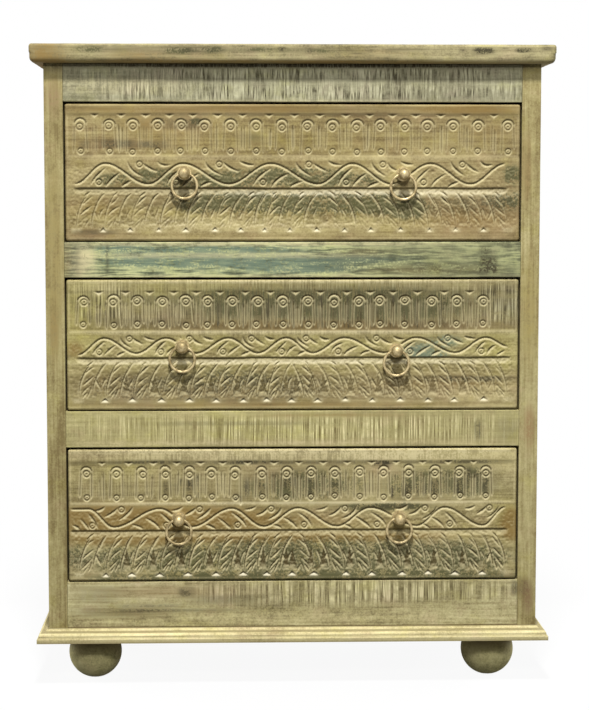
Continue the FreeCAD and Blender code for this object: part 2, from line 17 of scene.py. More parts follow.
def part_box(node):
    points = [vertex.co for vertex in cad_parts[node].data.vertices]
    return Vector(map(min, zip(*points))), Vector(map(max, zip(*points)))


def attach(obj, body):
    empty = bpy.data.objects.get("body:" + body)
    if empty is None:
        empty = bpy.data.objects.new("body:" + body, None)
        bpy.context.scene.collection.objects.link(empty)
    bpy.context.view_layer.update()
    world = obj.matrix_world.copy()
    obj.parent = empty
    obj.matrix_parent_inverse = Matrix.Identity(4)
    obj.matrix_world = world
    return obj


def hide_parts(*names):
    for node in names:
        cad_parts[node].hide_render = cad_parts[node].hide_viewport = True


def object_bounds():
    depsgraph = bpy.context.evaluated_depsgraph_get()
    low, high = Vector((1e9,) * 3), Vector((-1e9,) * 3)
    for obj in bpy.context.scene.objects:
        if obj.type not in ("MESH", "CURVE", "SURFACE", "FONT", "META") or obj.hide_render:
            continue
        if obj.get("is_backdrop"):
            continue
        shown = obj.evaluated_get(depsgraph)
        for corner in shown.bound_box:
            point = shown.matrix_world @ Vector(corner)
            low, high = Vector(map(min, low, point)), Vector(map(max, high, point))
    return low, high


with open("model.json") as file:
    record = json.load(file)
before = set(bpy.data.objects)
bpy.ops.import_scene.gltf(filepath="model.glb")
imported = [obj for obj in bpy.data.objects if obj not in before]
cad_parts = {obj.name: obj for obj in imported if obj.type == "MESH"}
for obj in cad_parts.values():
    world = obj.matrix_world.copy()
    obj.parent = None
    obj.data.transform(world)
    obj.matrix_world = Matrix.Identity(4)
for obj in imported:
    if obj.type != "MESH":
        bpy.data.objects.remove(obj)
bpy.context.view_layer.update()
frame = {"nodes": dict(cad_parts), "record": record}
nodes = frame["nodes"]
scene = bpy.context.scene

# %% [markdown]
# ## The camera
# A chest photographed from the front still shows a little perspective: the eye is below the top, left of
# the middle and some three metres away. A camera could be aimed by eye, but its place was worked out from
# the corners of the case, so it is written as three small turns after a quarter turn that levels it.

# %% Camera
camera_data = bpy.data.cameras.new("front_camera")
camera_data.sensor_width = 36
camera_data.lens = 99.0
camera = bpy.data.objects.new("front_camera", camera_data)
scene.collection.objects.link(camera)
yaw, pitch, roll = np.radians((1.95, 4.92, 0.02))
camera.matrix_world = (Matrix.Translation((-0.112, -3.542, 0.865))
                       @ Matrix.Rotation(-yaw, 4, "Z")
                       @ Matrix.Rotation(-pitch, 4, "X")
                       @ Matrix.Rotation(-roll, 4, "Y")
                       @ Matrix.Rotation(math.pi / 2, 4, "X"))
scene.camera = camera
scene.view_settings.view_transform = "Standard"
print("camera at", tuple(round(v, 3) for v in camera.matrix_world.translation))

# %% [markdown]
# ## Writing materials as sums
# A material is a tree of nodes, and wiring it by hand is slow to read. The class below wraps one socket of
# a tree. Operators on it add Math nodes, so `1 - mask` is a socket too, and `node` adds any other kind of
# node: first its settings, then the values or links of its sockets.

# %% A socket that can be calculated with
class Paint:
    """A socket of a node tree, or only the tree while the socket is None."""

    def __init__(self, tree, socket=None):
        self.tree, self.socket = tree, socket

    def node(self, kind, settings=None, sockets=None, out=0):
        """One output of a new node of that kind, after its settings and its sockets are set."""
        made = self.tree.nodes.new("ShaderNode" + kind)
        for key, value in (settings or {}).items():
            if key == "stops":
                for stop, (place, colour) in zip(ramp_stops(made.color_ramp, len(value)), value):
                    stop.position, stop.color = place, colour
            else:
                setattr(made, key, value)
        for key, value in (sockets or {}).items():
            if isinstance(value, Paint):
                self.tree.links.new(value.socket, made.inputs[key])
            else:
                made.inputs[key].default_value = value
        return Paint(self.tree, made.outputs[out] if made.outputs else None)

    def other(self, out):
        """Another output of the node this socket belongs to."""
        return Paint(self.tree, self.socket.node.outputs[out])

    def math(self, operation, *others):
        """This value put into a Math node, with the others after it."""
        return self.node("Math", {"operation": operation}, dict(enumerate((self, *others))))

    def __add__(self, other):
        return self.math("ADD", other)

    def __sub__(self, other):
        return self.math("SUBTRACT", other)

    def __rsub__(self, other):
        return self.math("MULTIPLY_ADD", -1.0, other)

    def __mul__(self, other):
        return self.math("MULTIPLY", other)

    __radd__, __rmul__ = __add__, __mul__

    def step(self, low, high):
        """0 below low, 1 above high, and a smooth rise between."""
        return self.node("MapRange", {"interpolation_type": "SMOOTHSTEP"}, {0: self, 1: low, 2: high})

    def mix(self, without, full):
        """A colour that goes from one to the other as this value goes from 0 to 1."""
        return self.node("Mix", {"data_type": "RGBA"}, {0: self, 6: without, 7: full}, out=2)


print("a socket has", *(name for name in vars(Paint) if not name.startswith("_")))


# %% Tones, ramps and empty trees
def ramp_stops(ramp, count):
    """The ramp's stops, after adding as many as are needed."""
    while len(ramp.elements) < count:
        ramp.elements.new(0.5)
    return ramp.elements


def tone(red, green, blue):
    """A colour as a screen shows it, 0 to 255, made linear for the shader."""
    c = np.array((red, green, blue)) / 255
    return (*np.where(c <= 0.04045, c / 12.92, ((c + 0.055) / 1.055) ** 2.4), 1)


def new_tree(owner):
    """An empty node tree in a material or a world."""
    owner.use_nodes = True
    owner.node_tree.nodes.clear()
    return Paint(owner.node_tree)


print("mid olive is", [round(v, 3) for v in tone(161, 148, 104)])

# %% [markdown]
# ## Light and floor
# The chest stands in plain studio light. Two lamps hang in front of it: the high, small one makes the
# clear-cut shadow under the slab and the bright lower walls of the carving, the lower one softens both. Two
# more stand behind at the sides, for anyone who walks round the chest. The world is a weak white fill, but
# the camera, and metal, see it as full white. The floor is white to them too, and near the chest it lets a
# faint shadow through.

# %% Lamps
def lamp(name, azimuth, elevation, size, power, distance=4.5):
    """A square lamp aimed at the chest, turned from the front by the azimuth and raised by the elevation."""
    data = bpy.data.lights.new(name, "AREA")
    data.size, data.energy = size, power
    made = bpy.data.objects.new(name, data)
    scene.collection.objects.link(made)
    turn, up = math.radians(azimuth), math.radians(elevation)
    away = Vector((math.sin(turn) * math.cos(up), -math.cos(turn) * math.cos(up), math.sin(up))) * distance
    middle_of_chest = Vector((0, 0, 0.55))
    made.location = middle_of_chest + away
    made.rotation_euler = away.to_track_quat("Z", "Y").to_euler()


lamp("high_lamp", azimuth=-2, elevation=59, size=0.4, power=236)
lamp("low_lamp", azimuth=3, elevation=27, size=0.5, power=68)
lamp("left_lamp", azimuth=-120, elevation=12, size=2.0, power=140)
lamp("right_lamp", azimuth=120, elevation=12, size=2.0, power=140)


# %% World and floor
def looked_at(tree):
    """1 for a ray that the camera, metal or glass looks along, and 0 for one that only carries light."""
    camera_ray, glossy, through = (tree.node("LightPath", out=f"Is {kind} Ray")
                                   for kind in ("Camera", "Glossy", "Transmission"))
    return (camera_ray + glossy + through).math("MINIMUM", 1.0)


world = bpy.data.worlds.new("studio")
scene.world = world
sky = new_tree(world)
fill = sky.node("Background", None, {"Color": (1, 1, 1, 1), "Strength": 0.03})
white = sky.node("Background", None, {"Color": (1, 1, 1, 1), "Strength": 1.0})
backdrop = sky.node("MixShader", None, {0: looked_at(sky), 1: fill, 2: white})
sky.node("OutputWorld", None, {"Surface": backdrop})

floor_mesh = bpy.data.meshes.new("floor")
floor_mesh.from_pydata([(-9, -9, 0), (9, -9, 0), (9, 9, 0), (-9, 9, 0)], [], [(0, 1, 2, 3)])
floor = bpy.data.objects.new("floor", floor_mesh)
scene.collection.objects.link(floor)
floor_paint = bpy.data.materials.new("pale_floor")
tree = new_tree(floor_paint)
place = tree.node("TexCoord", out="Object")
far = tree.node("VectorMath", {"operation": "LENGTH"}, {0: place}, out="Value").step(0.55, 1.6)
seen = looked_at(tree)
matt = tree.node("BsdfDiffuse", None, {"Color": seen.mix((0.2, 0.2, 0.2, 1), (0.8, 0.8, 0.8, 1))})
glow = tree.node("Emission", None, {"Color": (1, 1, 1, 1), "Strength": 1.0})
shadow = 0.07
share = seen * (far * shadow + (1 - shadow))
tree.node("OutputMaterial", None, {"Surface": tree.node("MixShader", None, {0: share, 1: matt, 2: glow})})
floor_mesh.materials.append(floor_paint)
floor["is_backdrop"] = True

# %% [markdown]
# ## Boards from a lattice
# A sawn board is a box, but an old one has no sharp edge and no flat face. The skin of a lattice of points
# is a box with as many points as wanted. Rounding it is one line: draw the box in by the radius, and push
# each point out again from the nearest place of the smaller box. A slow ripple of a few sines then takes a
# fraction of a millimetre off, as a hand plane does.

# %% Skin of a lattice
def ruler(low, high, step, edge):
    """Places along one side of a board: close together within the edge at both ends, a step apart between."""
    near = edge * np.array((0, 0.28, 0.55, 0.8))
    between = np.linspace(low + edge, high - edge, max(2, round((high - low - 2 * edge) / step) + 1))
    return np.concatenate((low + near, between, high - near[::-1]))


def skin(xs, ys, zs, back=True):
    """Points of a lattice that lie on its outside, quads between them, and the lattice of point numbers."""
    shape = len(xs), len(ys), len(zs)
    outer = np.ones(shape, bool)
    outer[1:-1, 1:-1, 1:-1] = False
    ids = np.cumsum(outer).reshape(shape) - 1
    points = np.stack(np.meshgrid(xs, ys, zs, indexing="ij"), -1)[outer]
    quads = []
    for axis, end in ((0, 0), (0, -1), (1, 0), (1, -1), (2, 0), (2, -1)):
        if (axis, end) == (1, -1) and not back:
            continue
        side = np.take(ids, end, axis)
        quad = np.stack((side[:-1, :-1], side[1:, :-1], side[1:, 1:], side[:-1, 1:]), -1).reshape(-1, 4)
        quads.append(quad if (axis == 1) == (end == 0) else quad[:, ::-1])
    return points, np.concatenate(quads), ids


def eased(points, low, high, radius):
    """Box points with rounded edges, and the way out at each: nearest point of the drawn-in box, plus the
    radius along the line from there."""
    core = np.clip(points, low + radius, high - radius)
    out = points - core
    out /= np.maximum(np.linalg.norm(out, axis=1, keepdims=True), 1e-9)
    return core + out * radius, out


def ripple(points, seed, length, waves=7):
    """A slow unevenness from 0 to 1: the mean of a few sines that run in chance directions."""
    dice = np.random.default_rng(seed)
    turns = dice.normal(size=(3, waves)) * 2 * math.pi / length
    return 0.5 + 0.5 * np.sin(points @ turns + dice.uniform(0, 7, waves)).mean(1)


print("a board of two steps each way has", len(skin(*[np.arange(3)] * 3)[1]), "quads")


# %% From points to a piece
def piece(name, points, faces, body, slot, *stands_for, **layers):
    """A mesh in millimetres made an object in metres; each layer is a colour for every point."""
    mesh = bpy.data.meshes.new(name)
    mesh.from_pydata((points / 1000).tolist(), [], faces)
    mesh.shade_smooth()
    for layer, values in layers.items():
        colour = mesh.attributes.new(layer, "FLOAT_COLOR", "POINT")
        colour.data.foreach_set("color", np.c_[values, np.ones(len(points))].astype(np.float32).ravel())
    made = bpy.data.objects.new(name, mesh)
    scene.collection.objects.link(made)
    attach(made, body)
    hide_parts(*stands_for)
    return made


def box_mm(node):
    """Lowest and highest corner of a frame piece, in millimetres."""
    return [np.array(corner) * 1000 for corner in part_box(node)]


print("slab", *[corner.round(1) for corner in box_mm("top_slab")])

# %% [markdown]
# ## Patches of old colour
# The chest is made of boards that had other paint before. Under the olive wash there is green in the
# hollows, blue-green on one rail and bare brown where hands rubbed; some places still show the saw, some
# are stained dark and some are rubbed pale, and the wash itself drifts to yellow, plum or grey. Some dark
# and pale patches are painted light instead: a dark band just under the slab is painted shadow, and pale
# strips along the top rims, ledges and fillets of the drawer faces and on their lowest chips are painted
# highlight. Each patch is a soft spot, given by its middle and reach in millimetres and an amount. Three
# kinds of patch make one colour layer of the mesh, so that red, green and blue say how much of each kind a
# point has. The material breaks the edges of the patches up.

# %% Spots as colour layers
def spots(points, kinds, blunt=2):
    """For each kind the sum of amount * exp(-|dx/rx|^blunt - |dz/rz|^blunt) over its spots, up to 1."""
    layers = []
    for group in kinds:
        x, z, rx, rz, amount = np.array(group or [(0, 0, 1, 1, 0)], float).T
        fall = np.abs((points[:, :1] - x) / rx) ** blunt + np.abs((points[:, 2:] - z) / rz) ** blunt
        layers.append(np.minimum((amount * np.exp(-fall)).sum(1), 1))
    return np.stack(layers, 1)


def colour_layers(points, green=(), bare=(), blue=(), sawn=(), stain=(), pale=(), yellow=(), plum=(),
                  cool=()):
    """The three colour layers that the wash reads; what wear did has the sharper edges, and among it
    stand painted shadow and painted highlight.
    """
    return {"patina": spots(points, (green, bare, blue)),
            "wear": spots(points, (sawn, stain, pale), blunt=4),
            "drift": spots(points, (yellow, plum, cool))}


def board(name, low, high, radius, steps, seed, wear=0.5, **patches):
    """A worn board between two corners, riding on the case in place of the frame's own. The radius of its
    edges is a number, or a function that gives one for every point."""
    sides = zip(low, high, steps)
    points, quads, _ = skin(*(ruler(a, b, step, min(4 * wear + 2, (b - a) / 3)) for a, b, step in sides))
    if callable(radius):
        radius = radius(points)[:, None]
    radius = radius * (0.8 + 0.5 * ripple(points, seed, 160))[:, None]
    points, out = eased(points, low, high, radius)
    points = points - out * (wear * ripple(points, seed + 1, 110))[:, None]
    return piece(name, points, quads.tolist(), "case", "washed_wood", name.removeprefix("worn_"),
                 **colour_layers(points, **patches))


left_edge = box_mm("left_side")[1][0]
right_edge = box_mm("right_side")[0][0]
print("boards fit between", left_edge, "and", right_edge)

# %% [markdown]
# ## Slab and rails
# The slab is thick, softened above and rounded further below. The rails between the drawers are rough-sawn
# boards let into the sides, so only the part between the sides is made here.

# %% Slab
SLAB = dict(
    bare=[(0, 1075, 500, 4, 0.7), (-420, 1088, 40, 30, 0.8), (-270, 1086, 60, 12, 0.5),
          (-150, 1085, 70, 12, 0.3), (120, 1090, 120, 12, 0.35)],
    green=[(-345, 1096, 30, 7, 0.8), (-195, 1094, 30, 7, 0.9), (-138, 1096, 16, 7, 0.9),
           (-60, 1096, 60, 6, 0.6), (60, 1094, 60, 6, 0.6), (322, 1095, 17, 5, 1.0),
           (390, 1096, 13, 4, 1.0)],
    stain=[(322, 1095, 20, 6, 1.0), (390, 1096, 14, 4, 1.0), (286, 1095, 7, 4, 0.8),
           (356, 1099, 10, 2, 0.7), (430, 1099, 8, 3, 0.9), (-20, 1097, 7, 4, 0.9),
           (-160, 1096, 40, 6, 0.5), (26, 1095, 5, 5, 0.6), (-270, 1096, 60, 6, 0.35),
           (110, 1090, 14, 2, 0.6), (190, 1096, 40, 3, 0.35)])
low, high = box_mm("top_slab")
middle = low[2] + 16
slab = board("worn_top_slab", low, high, lambda p: np.where(p[:, 2] > middle, 5.0, 9.0),
             steps=(5, 12, 2.5), seed=3, wear=0.5, **SLAB)
print(slab.name, "has", len(slab.data.vertices), "points")

# %% Rails
RAILS = {
    "frieze_rail": dict(
        seed=11,
        sawn=[(60, 1058, 400, 18, 0.9), (90, 1026, 380, 13, 1.0), (-280, 1026, 40, 14, 0.6)],
        # the first stain spot, a dark band just under the slab, is painted shadow of the slab; the others are
        # stains
        stain=[(0, 1074, 430, 9, 1.0), (60, 1046, 320, 3, 0.25), (260, 1020, 120, 10, 0.2)],
        pale=[(-300, 1035, 110, 14, 0.35), (0, 1009, 400, 4, 0.4)]),
    "upper_rail": dict(
        seed=12,
        blue=[(-140, 745, 240, 40, 0.6), (-290, 757, 50, 8, 0.8), (-230, 737, 80, 7, 1.0),
              (-60, 738, 120, 7, 1.0), (-120, 757, 100, 5, 0.6), (30, 725, 90, 7, 0.9),
              (120, 741, 90, 8, 0.6)],
        bare=[(-388, 738, 10, 40, 0.5), (120, 754, 50, 8, 0.4), (200, 722, 150, 8, 0.4)],
        stain=[(330, 740, 10, 26, 0.8), (344, 732, 8, 16, 0.7), (180, 740, 150, 26, 0.4),
               (290, 722, 110, 12, 0.35), (-318, 745, 4, 26, 0.6), (-378, 736, 14, 34, 0.4)],
        plum=[(-376, 738, 26, 40, 1.0)],
        pale=[(-355, 742, 16, 22, 0.8), (-120, 748, 260, 5, 0.5), (-60, 768, 330, 4, 0.7),
              (0, 711, 390, 4, 0.5)]),
    "lower_rail": dict(
        seed=13,
        yellow=[(-60, 448, 330, 40, 0.2)],
        sawn=[(50, 448, 330, 24, 0.95), (-300, 452, 80, 24, 0.25)],
        stain=[(-110, 458, 150, 4, 0.35), (321, 445, 7, 18, 0.7), (372, 447, 20, 24, 0.3)],
        plum=[(0, 425, 390, 5, 0.6)],
        bare=[(60, 472, 170, 5, 0.5)],
        pale=[(-60, 424, 330, 4, 0.5)]),
    "bottom_rail": dict(
        seed=14,
        yellow=[(-60, 122, 340, 16, 0.3)],
        plum=[(-200, 165, 150, 12, 0.5)],
        sawn=[(140, 164, 240, 17, 1.0), (-130, 158, 40, 18, 0.6), (60, 146, 150, 12, 0.4)],
        bare=[(-230, 165, 130, 14, 0.4), (-280, 128, 110, 14, 0.3)],
        stain=[(-186, 163, 14, 9, 0.7), (-250, 140, 60, 3, 0.5), (-200, 131, 110, 3, 0.5),
               (-120, 150, 60, 8, 0.4), (-300, 128, 90, 10, 0.35), (387, 168, 5, 14, 0.7),
               (-340, 160, 40, 16, 0.3)],
        pale=[(60, 118, 320, 10, 0.35)]),
}
rails = {}
for name, look in RAILS.items():
    low, high = box_mm(name)
    low[0], high[0] = left_edge, right_edge
    rails[name] = board(f"worn_{name}", low, high, radius=1.4, steps=(5, 8, 2.5), wear=0.35, **look)
print("rails:", *(rail.name for rail in rails.values()))

# %% [markdown]
# ## Cutting the carving
# The carver used a V-shaped gouge, a ring punch and a flat chisel. Sculpting would do it, but every cut is
# simple: its depth at a point depends only on the distance to the cut's line. So the face is a grid of
# depths, and each cut is worked out on the part of the grid near it. Where cuts cross, the deeper one wins.
# Light falls from above, so the upper wall of each groove is narrow and dark and the lower one wide and
# bright, which is why the two walls have different widths here.

# %% Gouge, punch and chisel
def bend(points, count=9):
    """A smooth line through three points: the parabola that passes the middle one halfway."""
    a, b, c = np.asarray(points, float)
    t = np.linspace(0, 1, count)[:, None]
    return a * (1 - t) * (1 - 2 * t) + b * 4 * t * (1 - t) + c * t * (2 * t - 1)


class Carving:
    """Depths in millimetres on a grid of x and z, cut by the methods below."""

    def __init__(self, xs, zs, seed):
        self.xs, self.zs = xs, zs
        self.depth = np.zeros((len(xs), len(zs)))
        self.dice = np.random.default_rng(seed)

    def near(self, low, high):
        """The part of the grid between two corners, and its points."""
        across = slice(*np.searchsorted(self.xs, (low[0], high[0])))
        upward = slice(*np.searchsorted(self.zs, (low[1], high[1])))
        grid = np.meshgrid(self.xs[across], self.zs[upward], indexing="ij")
        return (across, upward), np.stack(grid, -1)

    def deepen(self, part, cut):
        """Takes a part of the grid down to the cut, where it is not deeper already."""
        self.depth[part] = np.maximum(self.depth[part], cut)

    def gouge(self, path, half, deep, ends=0.3, lean=0.25):
        """A groove along a line of points: deepest on the line, straight walls, narrower and shallower
        towards its ends, and its wall above narrower than the one below by the lean."""
        path = np.asarray(path, float)
        part, p = self.near(path.min(0) - 2 * half, path.max(0) + 2 * half)
        start, run = path[:-1], np.diff(path, axis=0)
        to = p[:, :, None] - start
        t = np.clip((to * run).sum(-1) / np.maximum((run ** 2).sum(-1), 1e-9), 0, 1)
        off = to - t[..., None] * run
        gap = np.linalg.norm(off, axis=-1)
        best = gap.argmin(-1)[..., None]
        gap = np.take_along_axis(gap, best, -1)[..., 0]
        rise = np.take_along_axis(off[..., 1], best, -1)[..., 0] / np.maximum(gap, 1e-6)
        along = (best[..., 0] + np.take_along_axis(t, best, -1)[..., 0]) / len(run)
        swell = np.clip(np.minimum(along, 1 - along) / ends, 0, 1) ** 0.5
        reach = half * (1 - lean * rise) * (0.35 + 0.65 * swell)
        self.deepen(part, deep * swell * np.clip(1 - gap / reach, 0, 1))

    def stroke(self, points, half, deep, weakest=0.55):
        """A short curved cut through three points, not every one cut with the same strength."""
        strength = self.dice.uniform(weakest, 1.15)
        self.gouge(bend(points), half * (0.6 + 0.4 * strength), deep * strength, ends=0.4, lean=0.5)

    def punch(self, x, z, radius, half, deep):
        """A ring-shaped groove with straight walls, and a cone-shaped pit in its middle."""
        reach = radius + half
        part, p = self.near((x - reach, z - reach), (x + reach, z + reach))
        r = np.hypot(p[..., 0] - x, p[..., 1] - z)
        self.deepen(part, deep * np.clip(1 - np.abs(r - radius) / half, 0, 1))
        self.deepen(part, deep * np.clip(1 - r / (0.45 * radius), 0, 1))

    def chip(self, corners, slopes, deep):
        """A three-cornered chip: each wall slopes in from its side, and the lowest wall counts."""
        corners = np.asarray(corners, float)
        part, p = self.near(corners.min(0), corners.max(0))
        run = np.roll(corners, -1, 0) - corners
        turn = np.sign(run[0, 0] * run[1, 1] - run[0, 1] * run[1, 0])
        to = p[:, :, None] - corners
        inside = turn * (run[:, 0] * to[..., 1] - run[:, 1] * to[..., 0]) / np.linalg.norm(run, axis=1)
        self.deepen(part, np.clip((inside * np.asarray(slopes)).min(-1), 0, deep))

    def sink(self, low, high, deep, above, below):
        """A sunk field from one height to another, with a wall of that width above and below."""
        wall = np.minimum((high - self.zs) / above, (self.zs - low) / below)
        self.depth = np.maximum(self.depth, deep * np.clip(wall, 0, 1))

    def shake(self, *size):
        """A small slip of the hand."""
        return self.dice.normal(0, 0.7, size)

    def placed(self, shares, unit, corner):
        """Shares of a unit from a corner as places on the face, each with a slip of the hand."""
        return np.asarray(shares) * unit + corner + self.shake(len(shares), 2)


print("tools:", *(name for name in vars(Carving) if not name.startswith("_")))

# %% [markdown]
# ## What is carved on each face
# From the top down each face has a plain margin, an arcade with a ring above and below in every arch, a
# wavy vine with leaves and rings in its bends, a bevelled ledge, a field of slanted leaves and a row of
# small chips. The three faces follow one drawing but were cut freehand, so the places of arches, bends and
# chips are given one by one, in millimetres from the middle of the chest and from the floor. `wide` is half
# the width of an arch, `hand` the side to which the vine's leaves lean, `swap` the place where the slanted
# leaves change sides, and `left` how much of the carving wear has left. In the vine, 1 stands for a crest and
# 0 for a trough.

# %% Places of the carving
FACES = {
    "upper": dict(
        notch=986, arch=980, rings=(967, 925), fillet=914.7, crest=904.8, trough=870, ledge=862,
        chips=792,
        arches=[-363, -314, -273, -232, -191, -150, -107, -65, -20, 24, 67, 110, 150, 190, 229, 273, 317,
                368],
        vine=[(-373, 0), (-321, 1), (-248, 0), (-189, 1), (-110, 0), (-39, 1), (42, 0), (101, 1),
              (168, 0), (235, 1), (304, 0), (364, 1)],
        feet=[-371, -325, -279, -230, -184, -134, -90, -49, -6, 40, 88, 133, 184, 234, 279, 327, 369],
        swap=50, hand=1, wide=10.5, left=0.4, seed=21),
    "middle": dict(
        notch=684, arch=679, rings=(668, 629), fillet=615, crest=606, trough=580, ledge=571, chips=499,
        arches=[-359, -309, -268, -226, -186, -147, -105, -62, -18, 25, 70, 115, 150, 192, 240, 282, 327],
        vine=[(-371, -0.1), (-325, 1), (-270, 0), (-219, 1), (-167, 0), (-112, 1), (-61, 0), (-12, 1),
              (33, 0), (88, 1), (157, 0), (212, 1), (280, 0), (333, 1), (372, 0.4)],
        feet=[-370, -324, -277, -227, -179, -133, -86, -46, -3, 42, 90, 137, 185, 233, 279, 330, 372],
        swap=0, hand=1, wide=10.3, left=0.75, seed=22),
    "lower": dict(
        notch=389, arch=383, rings=(370, 329), fillet=317, crest=310, trough=278, ledge=271, chips=195,
        arches=[-358, -305, -262, -223, -181, -142, -102, -55, -12, 31, 73, 114, 157, 200, 248, 290, 334],
        vine=[(-386, 1), (-354, 1), (-311, 0), (-231, 1), (-176, 0), (-107, 1), (-51, 0), (8, 1), (76, 0),
              (134, 1), (215, 0), (263, 1), (330, 0), (370, 1)],
        feet=[-372, -325, -280, -232, -183, -134, -87, -46, -2, 36, 92, 137, 190, 235, 282, 330, 371],
        swap=10, hand=-1, wide=9.0, left=1.0, seed=23),
}
print({level: len(face["arches"]) for level, face in FACES.items()}, "arches")

# %% [markdown]
# ## The arcade
# Each arch is one long cut: it starts a little below the place where the curve begins, so that the gouge has
# its full depth there. Two legs go on from it with less force, splayed a little outwards. Rings could be
# modelled one by one, but the real ones were struck with a punch, so a punch of two sizes makes them here.

# %% Arcade
def carve_arcade(work, face):
    """A sunk field with an arch line round each pair of rings, grooves on the pillars and a notch on each."""
    high, low = face["rings"]
    work.sink(face["fillet"] + 1, face["notch"] + 4, deep=0.6, above=5, below=4)
    turn = np.linspace(0, math.pi, 13)
    run_in = (0, 9)
    for x in face["arches"]:
        dx, dz = work.shake(2)
        wide = face["wide"] + 0.8 * work.shake(1)[0]
        crown = np.stack((x + dx + wide * np.cos(turn), face["arch"] - wide + dz + wide * np.sin(turn)), 1)
        crown = np.concatenate((crown[:1] - run_in, crown, crown[-1:] - run_in))
        work.gouge(crown, half=2.9, deep=2.8, ends=0.14)
        for foot in crown[[1, -2]]:
            slip = work.shake(2)
            end = foot[0] + 0.15 * (foot[0] - x) + slip[0], face["fillet"] + 9 + 4 * slip[1]
            work.gouge([foot, end], half=2.4, deep=1.3 + 1.3 * face["left"], ends=0.1)
        for z, radius in ((high, 5.4), (low, 4.6)):
            slip = 1.3 * work.shake(2)
            work.punch(x + dx + slip[0], z + slip[1], radius, half=2.2, deep=2.1 + 0.6 * face["left"])
    pillars = np.convolve(face["arches"], (0.5, 0.5), "valid")
    for x in pillars:
        for side in (-2.6, 2.6):
            top, foot, rise, drop = work.shake(4)
            start = x + side + top, face["arch"] - 8 + 5 * rise
            end = x + side + foot, face["fillet"] + 9 + 5 * drop
            work.gouge([start, end], half=2.6, deep=work.dice.uniform(1.0, 3.0), ends=0.2)
        x += work.shake(1)[0]
        top, wide = face["notch"] + 3, 11 + work.shake(1)[0]
        work.chip([(x - wide, top), (x + wide, top), (x, top - 9)], slopes=(1.3, 0.55, 0.55), deep=2.4)


print(sum(len(face["arches"]) for face in FACES.values()), "arches to cut")

# %% [markdown]
# ## Vine and ledge
# The vine could be a drawn curve. Its bends are uneven, though, so it is worked out from the places of its
# crests and troughs. The three leaves of a bend are drawn once, in steps along the vine and shares of its
# height, and stretched to fit each bend. The ledge below is a single long cut with two unlike walls.

# %% Vine and ledge
VALLEY = [[(-0.52, 1.08), (-0.40, 0.72), (-0.13, 0.38)], [(-0.12, 1.05), (0.03, 0.80), (0.24, 0.62)],
          [(0.25, 1.12), (0.40, 0.98), (0.58, 0.93)]]
CREST = [[(-0.39, -0.05), (-0.25, 0.38), (0.0, 0.78)], [(0.0, -0.15), (0.15, 0.22), (0.39, 0.52)],
         [(0.42, -0.17), (0.55, 0.02), (0.73, 0.12)]]


def carve_vine(work, face):
    """A wavy groove through its highs and lows, half a cosine between each two, with leaves in the bends."""
    tall = face["crest"] - face["trough"]
    knots = np.array(face["vine"], float)
    xs = np.linspace(knots[0, 0], knots[-1, 0], 340)
    where = np.clip(np.searchsorted(knots[:, 0], xs, "right") - 1, 0, len(knots) - 2)
    part = (xs - knots[where, 0]) / (knots[where + 1, 0] - knots[where, 0])
    rise = knots[where, 1] + (knots[where + 1, 1] - knots[where, 1]) * (1 - np.cos(math.pi * part)) / 2
    work.gouge(np.stack((xs, face["trough"] + tall * rise), 1), half=2.5, deep=2.6, ends=0.01)
    for (x, level), step in zip(knots[1:-1], (knots[2:, 0] - knots[:-2, 0]) / 2):
        leaves, ring = (CREST, (-0.17, 0.08)) if level > 0.5 else (VALLEY, (-0.22, 0.95))
        scale = np.array((face["hand"] * step, tall))
        for leaf in leaves:
            work.stroke(work.placed(leaf, scale, (x, face["trough"])), half=2.7, deep=2.9, weakest=0.8)
        work.punch(*np.asarray(ring) * scale + (x, face["trough"]), radius=4.8, half=2.0, deep=2.0)


def carve_ledge(work, face):
    """A long groove with a steep wall above and a broad bevel below it."""
    xs = np.linspace(face["vine"][0][0] - 2, face["vine"][-1][0] + 4, 60)
    zs = face["ledge"] + ripple(np.stack((xs, xs, xs), 1), face["seed"], 300) * 2 - 1
    work.gouge(np.stack((xs, zs), 1), half=6.0, deep=2.3, ends=0.012, lean=0.66)


print(len(VALLEY), "leaves in each trough,", len(CREST), "on each crest")

# %% [markdown]
# ## The field of leaves
# Between the ledge and the chips, the same leaf stands beside every foot: a stem that leans out as it rises,
# short cuts along it and a sunk wedge beyond. It is drawn once, in shares of the width between two feet and
# of the height of the field. A copy would look stamped, so every point of every cut gets a slip of the hand.

# %% Leaves and chips
LEAVES = [((0.04, 0.0), (0.14, 0.5), (0.52, 1.0)), ((0.26, 0.62), (0.40, 0.75), (0.60, 0.86)),
          ((0.16, 0.34), (0.34, 0.47), (0.58, 0.60)), ((0.10, 0.08), (0.26, 0.22), (0.50, 0.38)),
          ((0.54, 0.02), (0.63, 0.45), (0.98, 0.97)), ((0.66, 0.52), (0.72, 0.38), (0.84, 0.20)),
          ((0.34, 0.02), (0.40, 0.14), (0.50, 0.28)), ((0.18, 0.00), (0.26, 0.10), (0.36, 0.20)),
          ((0.88, 0.26), (0.94, 0.42), (1.04, 0.54)), ((0.74, 0.58), (0.86, 0.78), (1.06, 0.96)),
          ((0.32, 0.84), (0.44, 0.93), (0.62, 1.0))]
WEDGE = (0.60, 0.06), (0.96, 0.06), (0.80, 0.68)
FIELD_END = 383  # how far from the middle of the chest the cuts reach
LAST_CHIP = 350  # a foot further out than this has no wedge and no chip


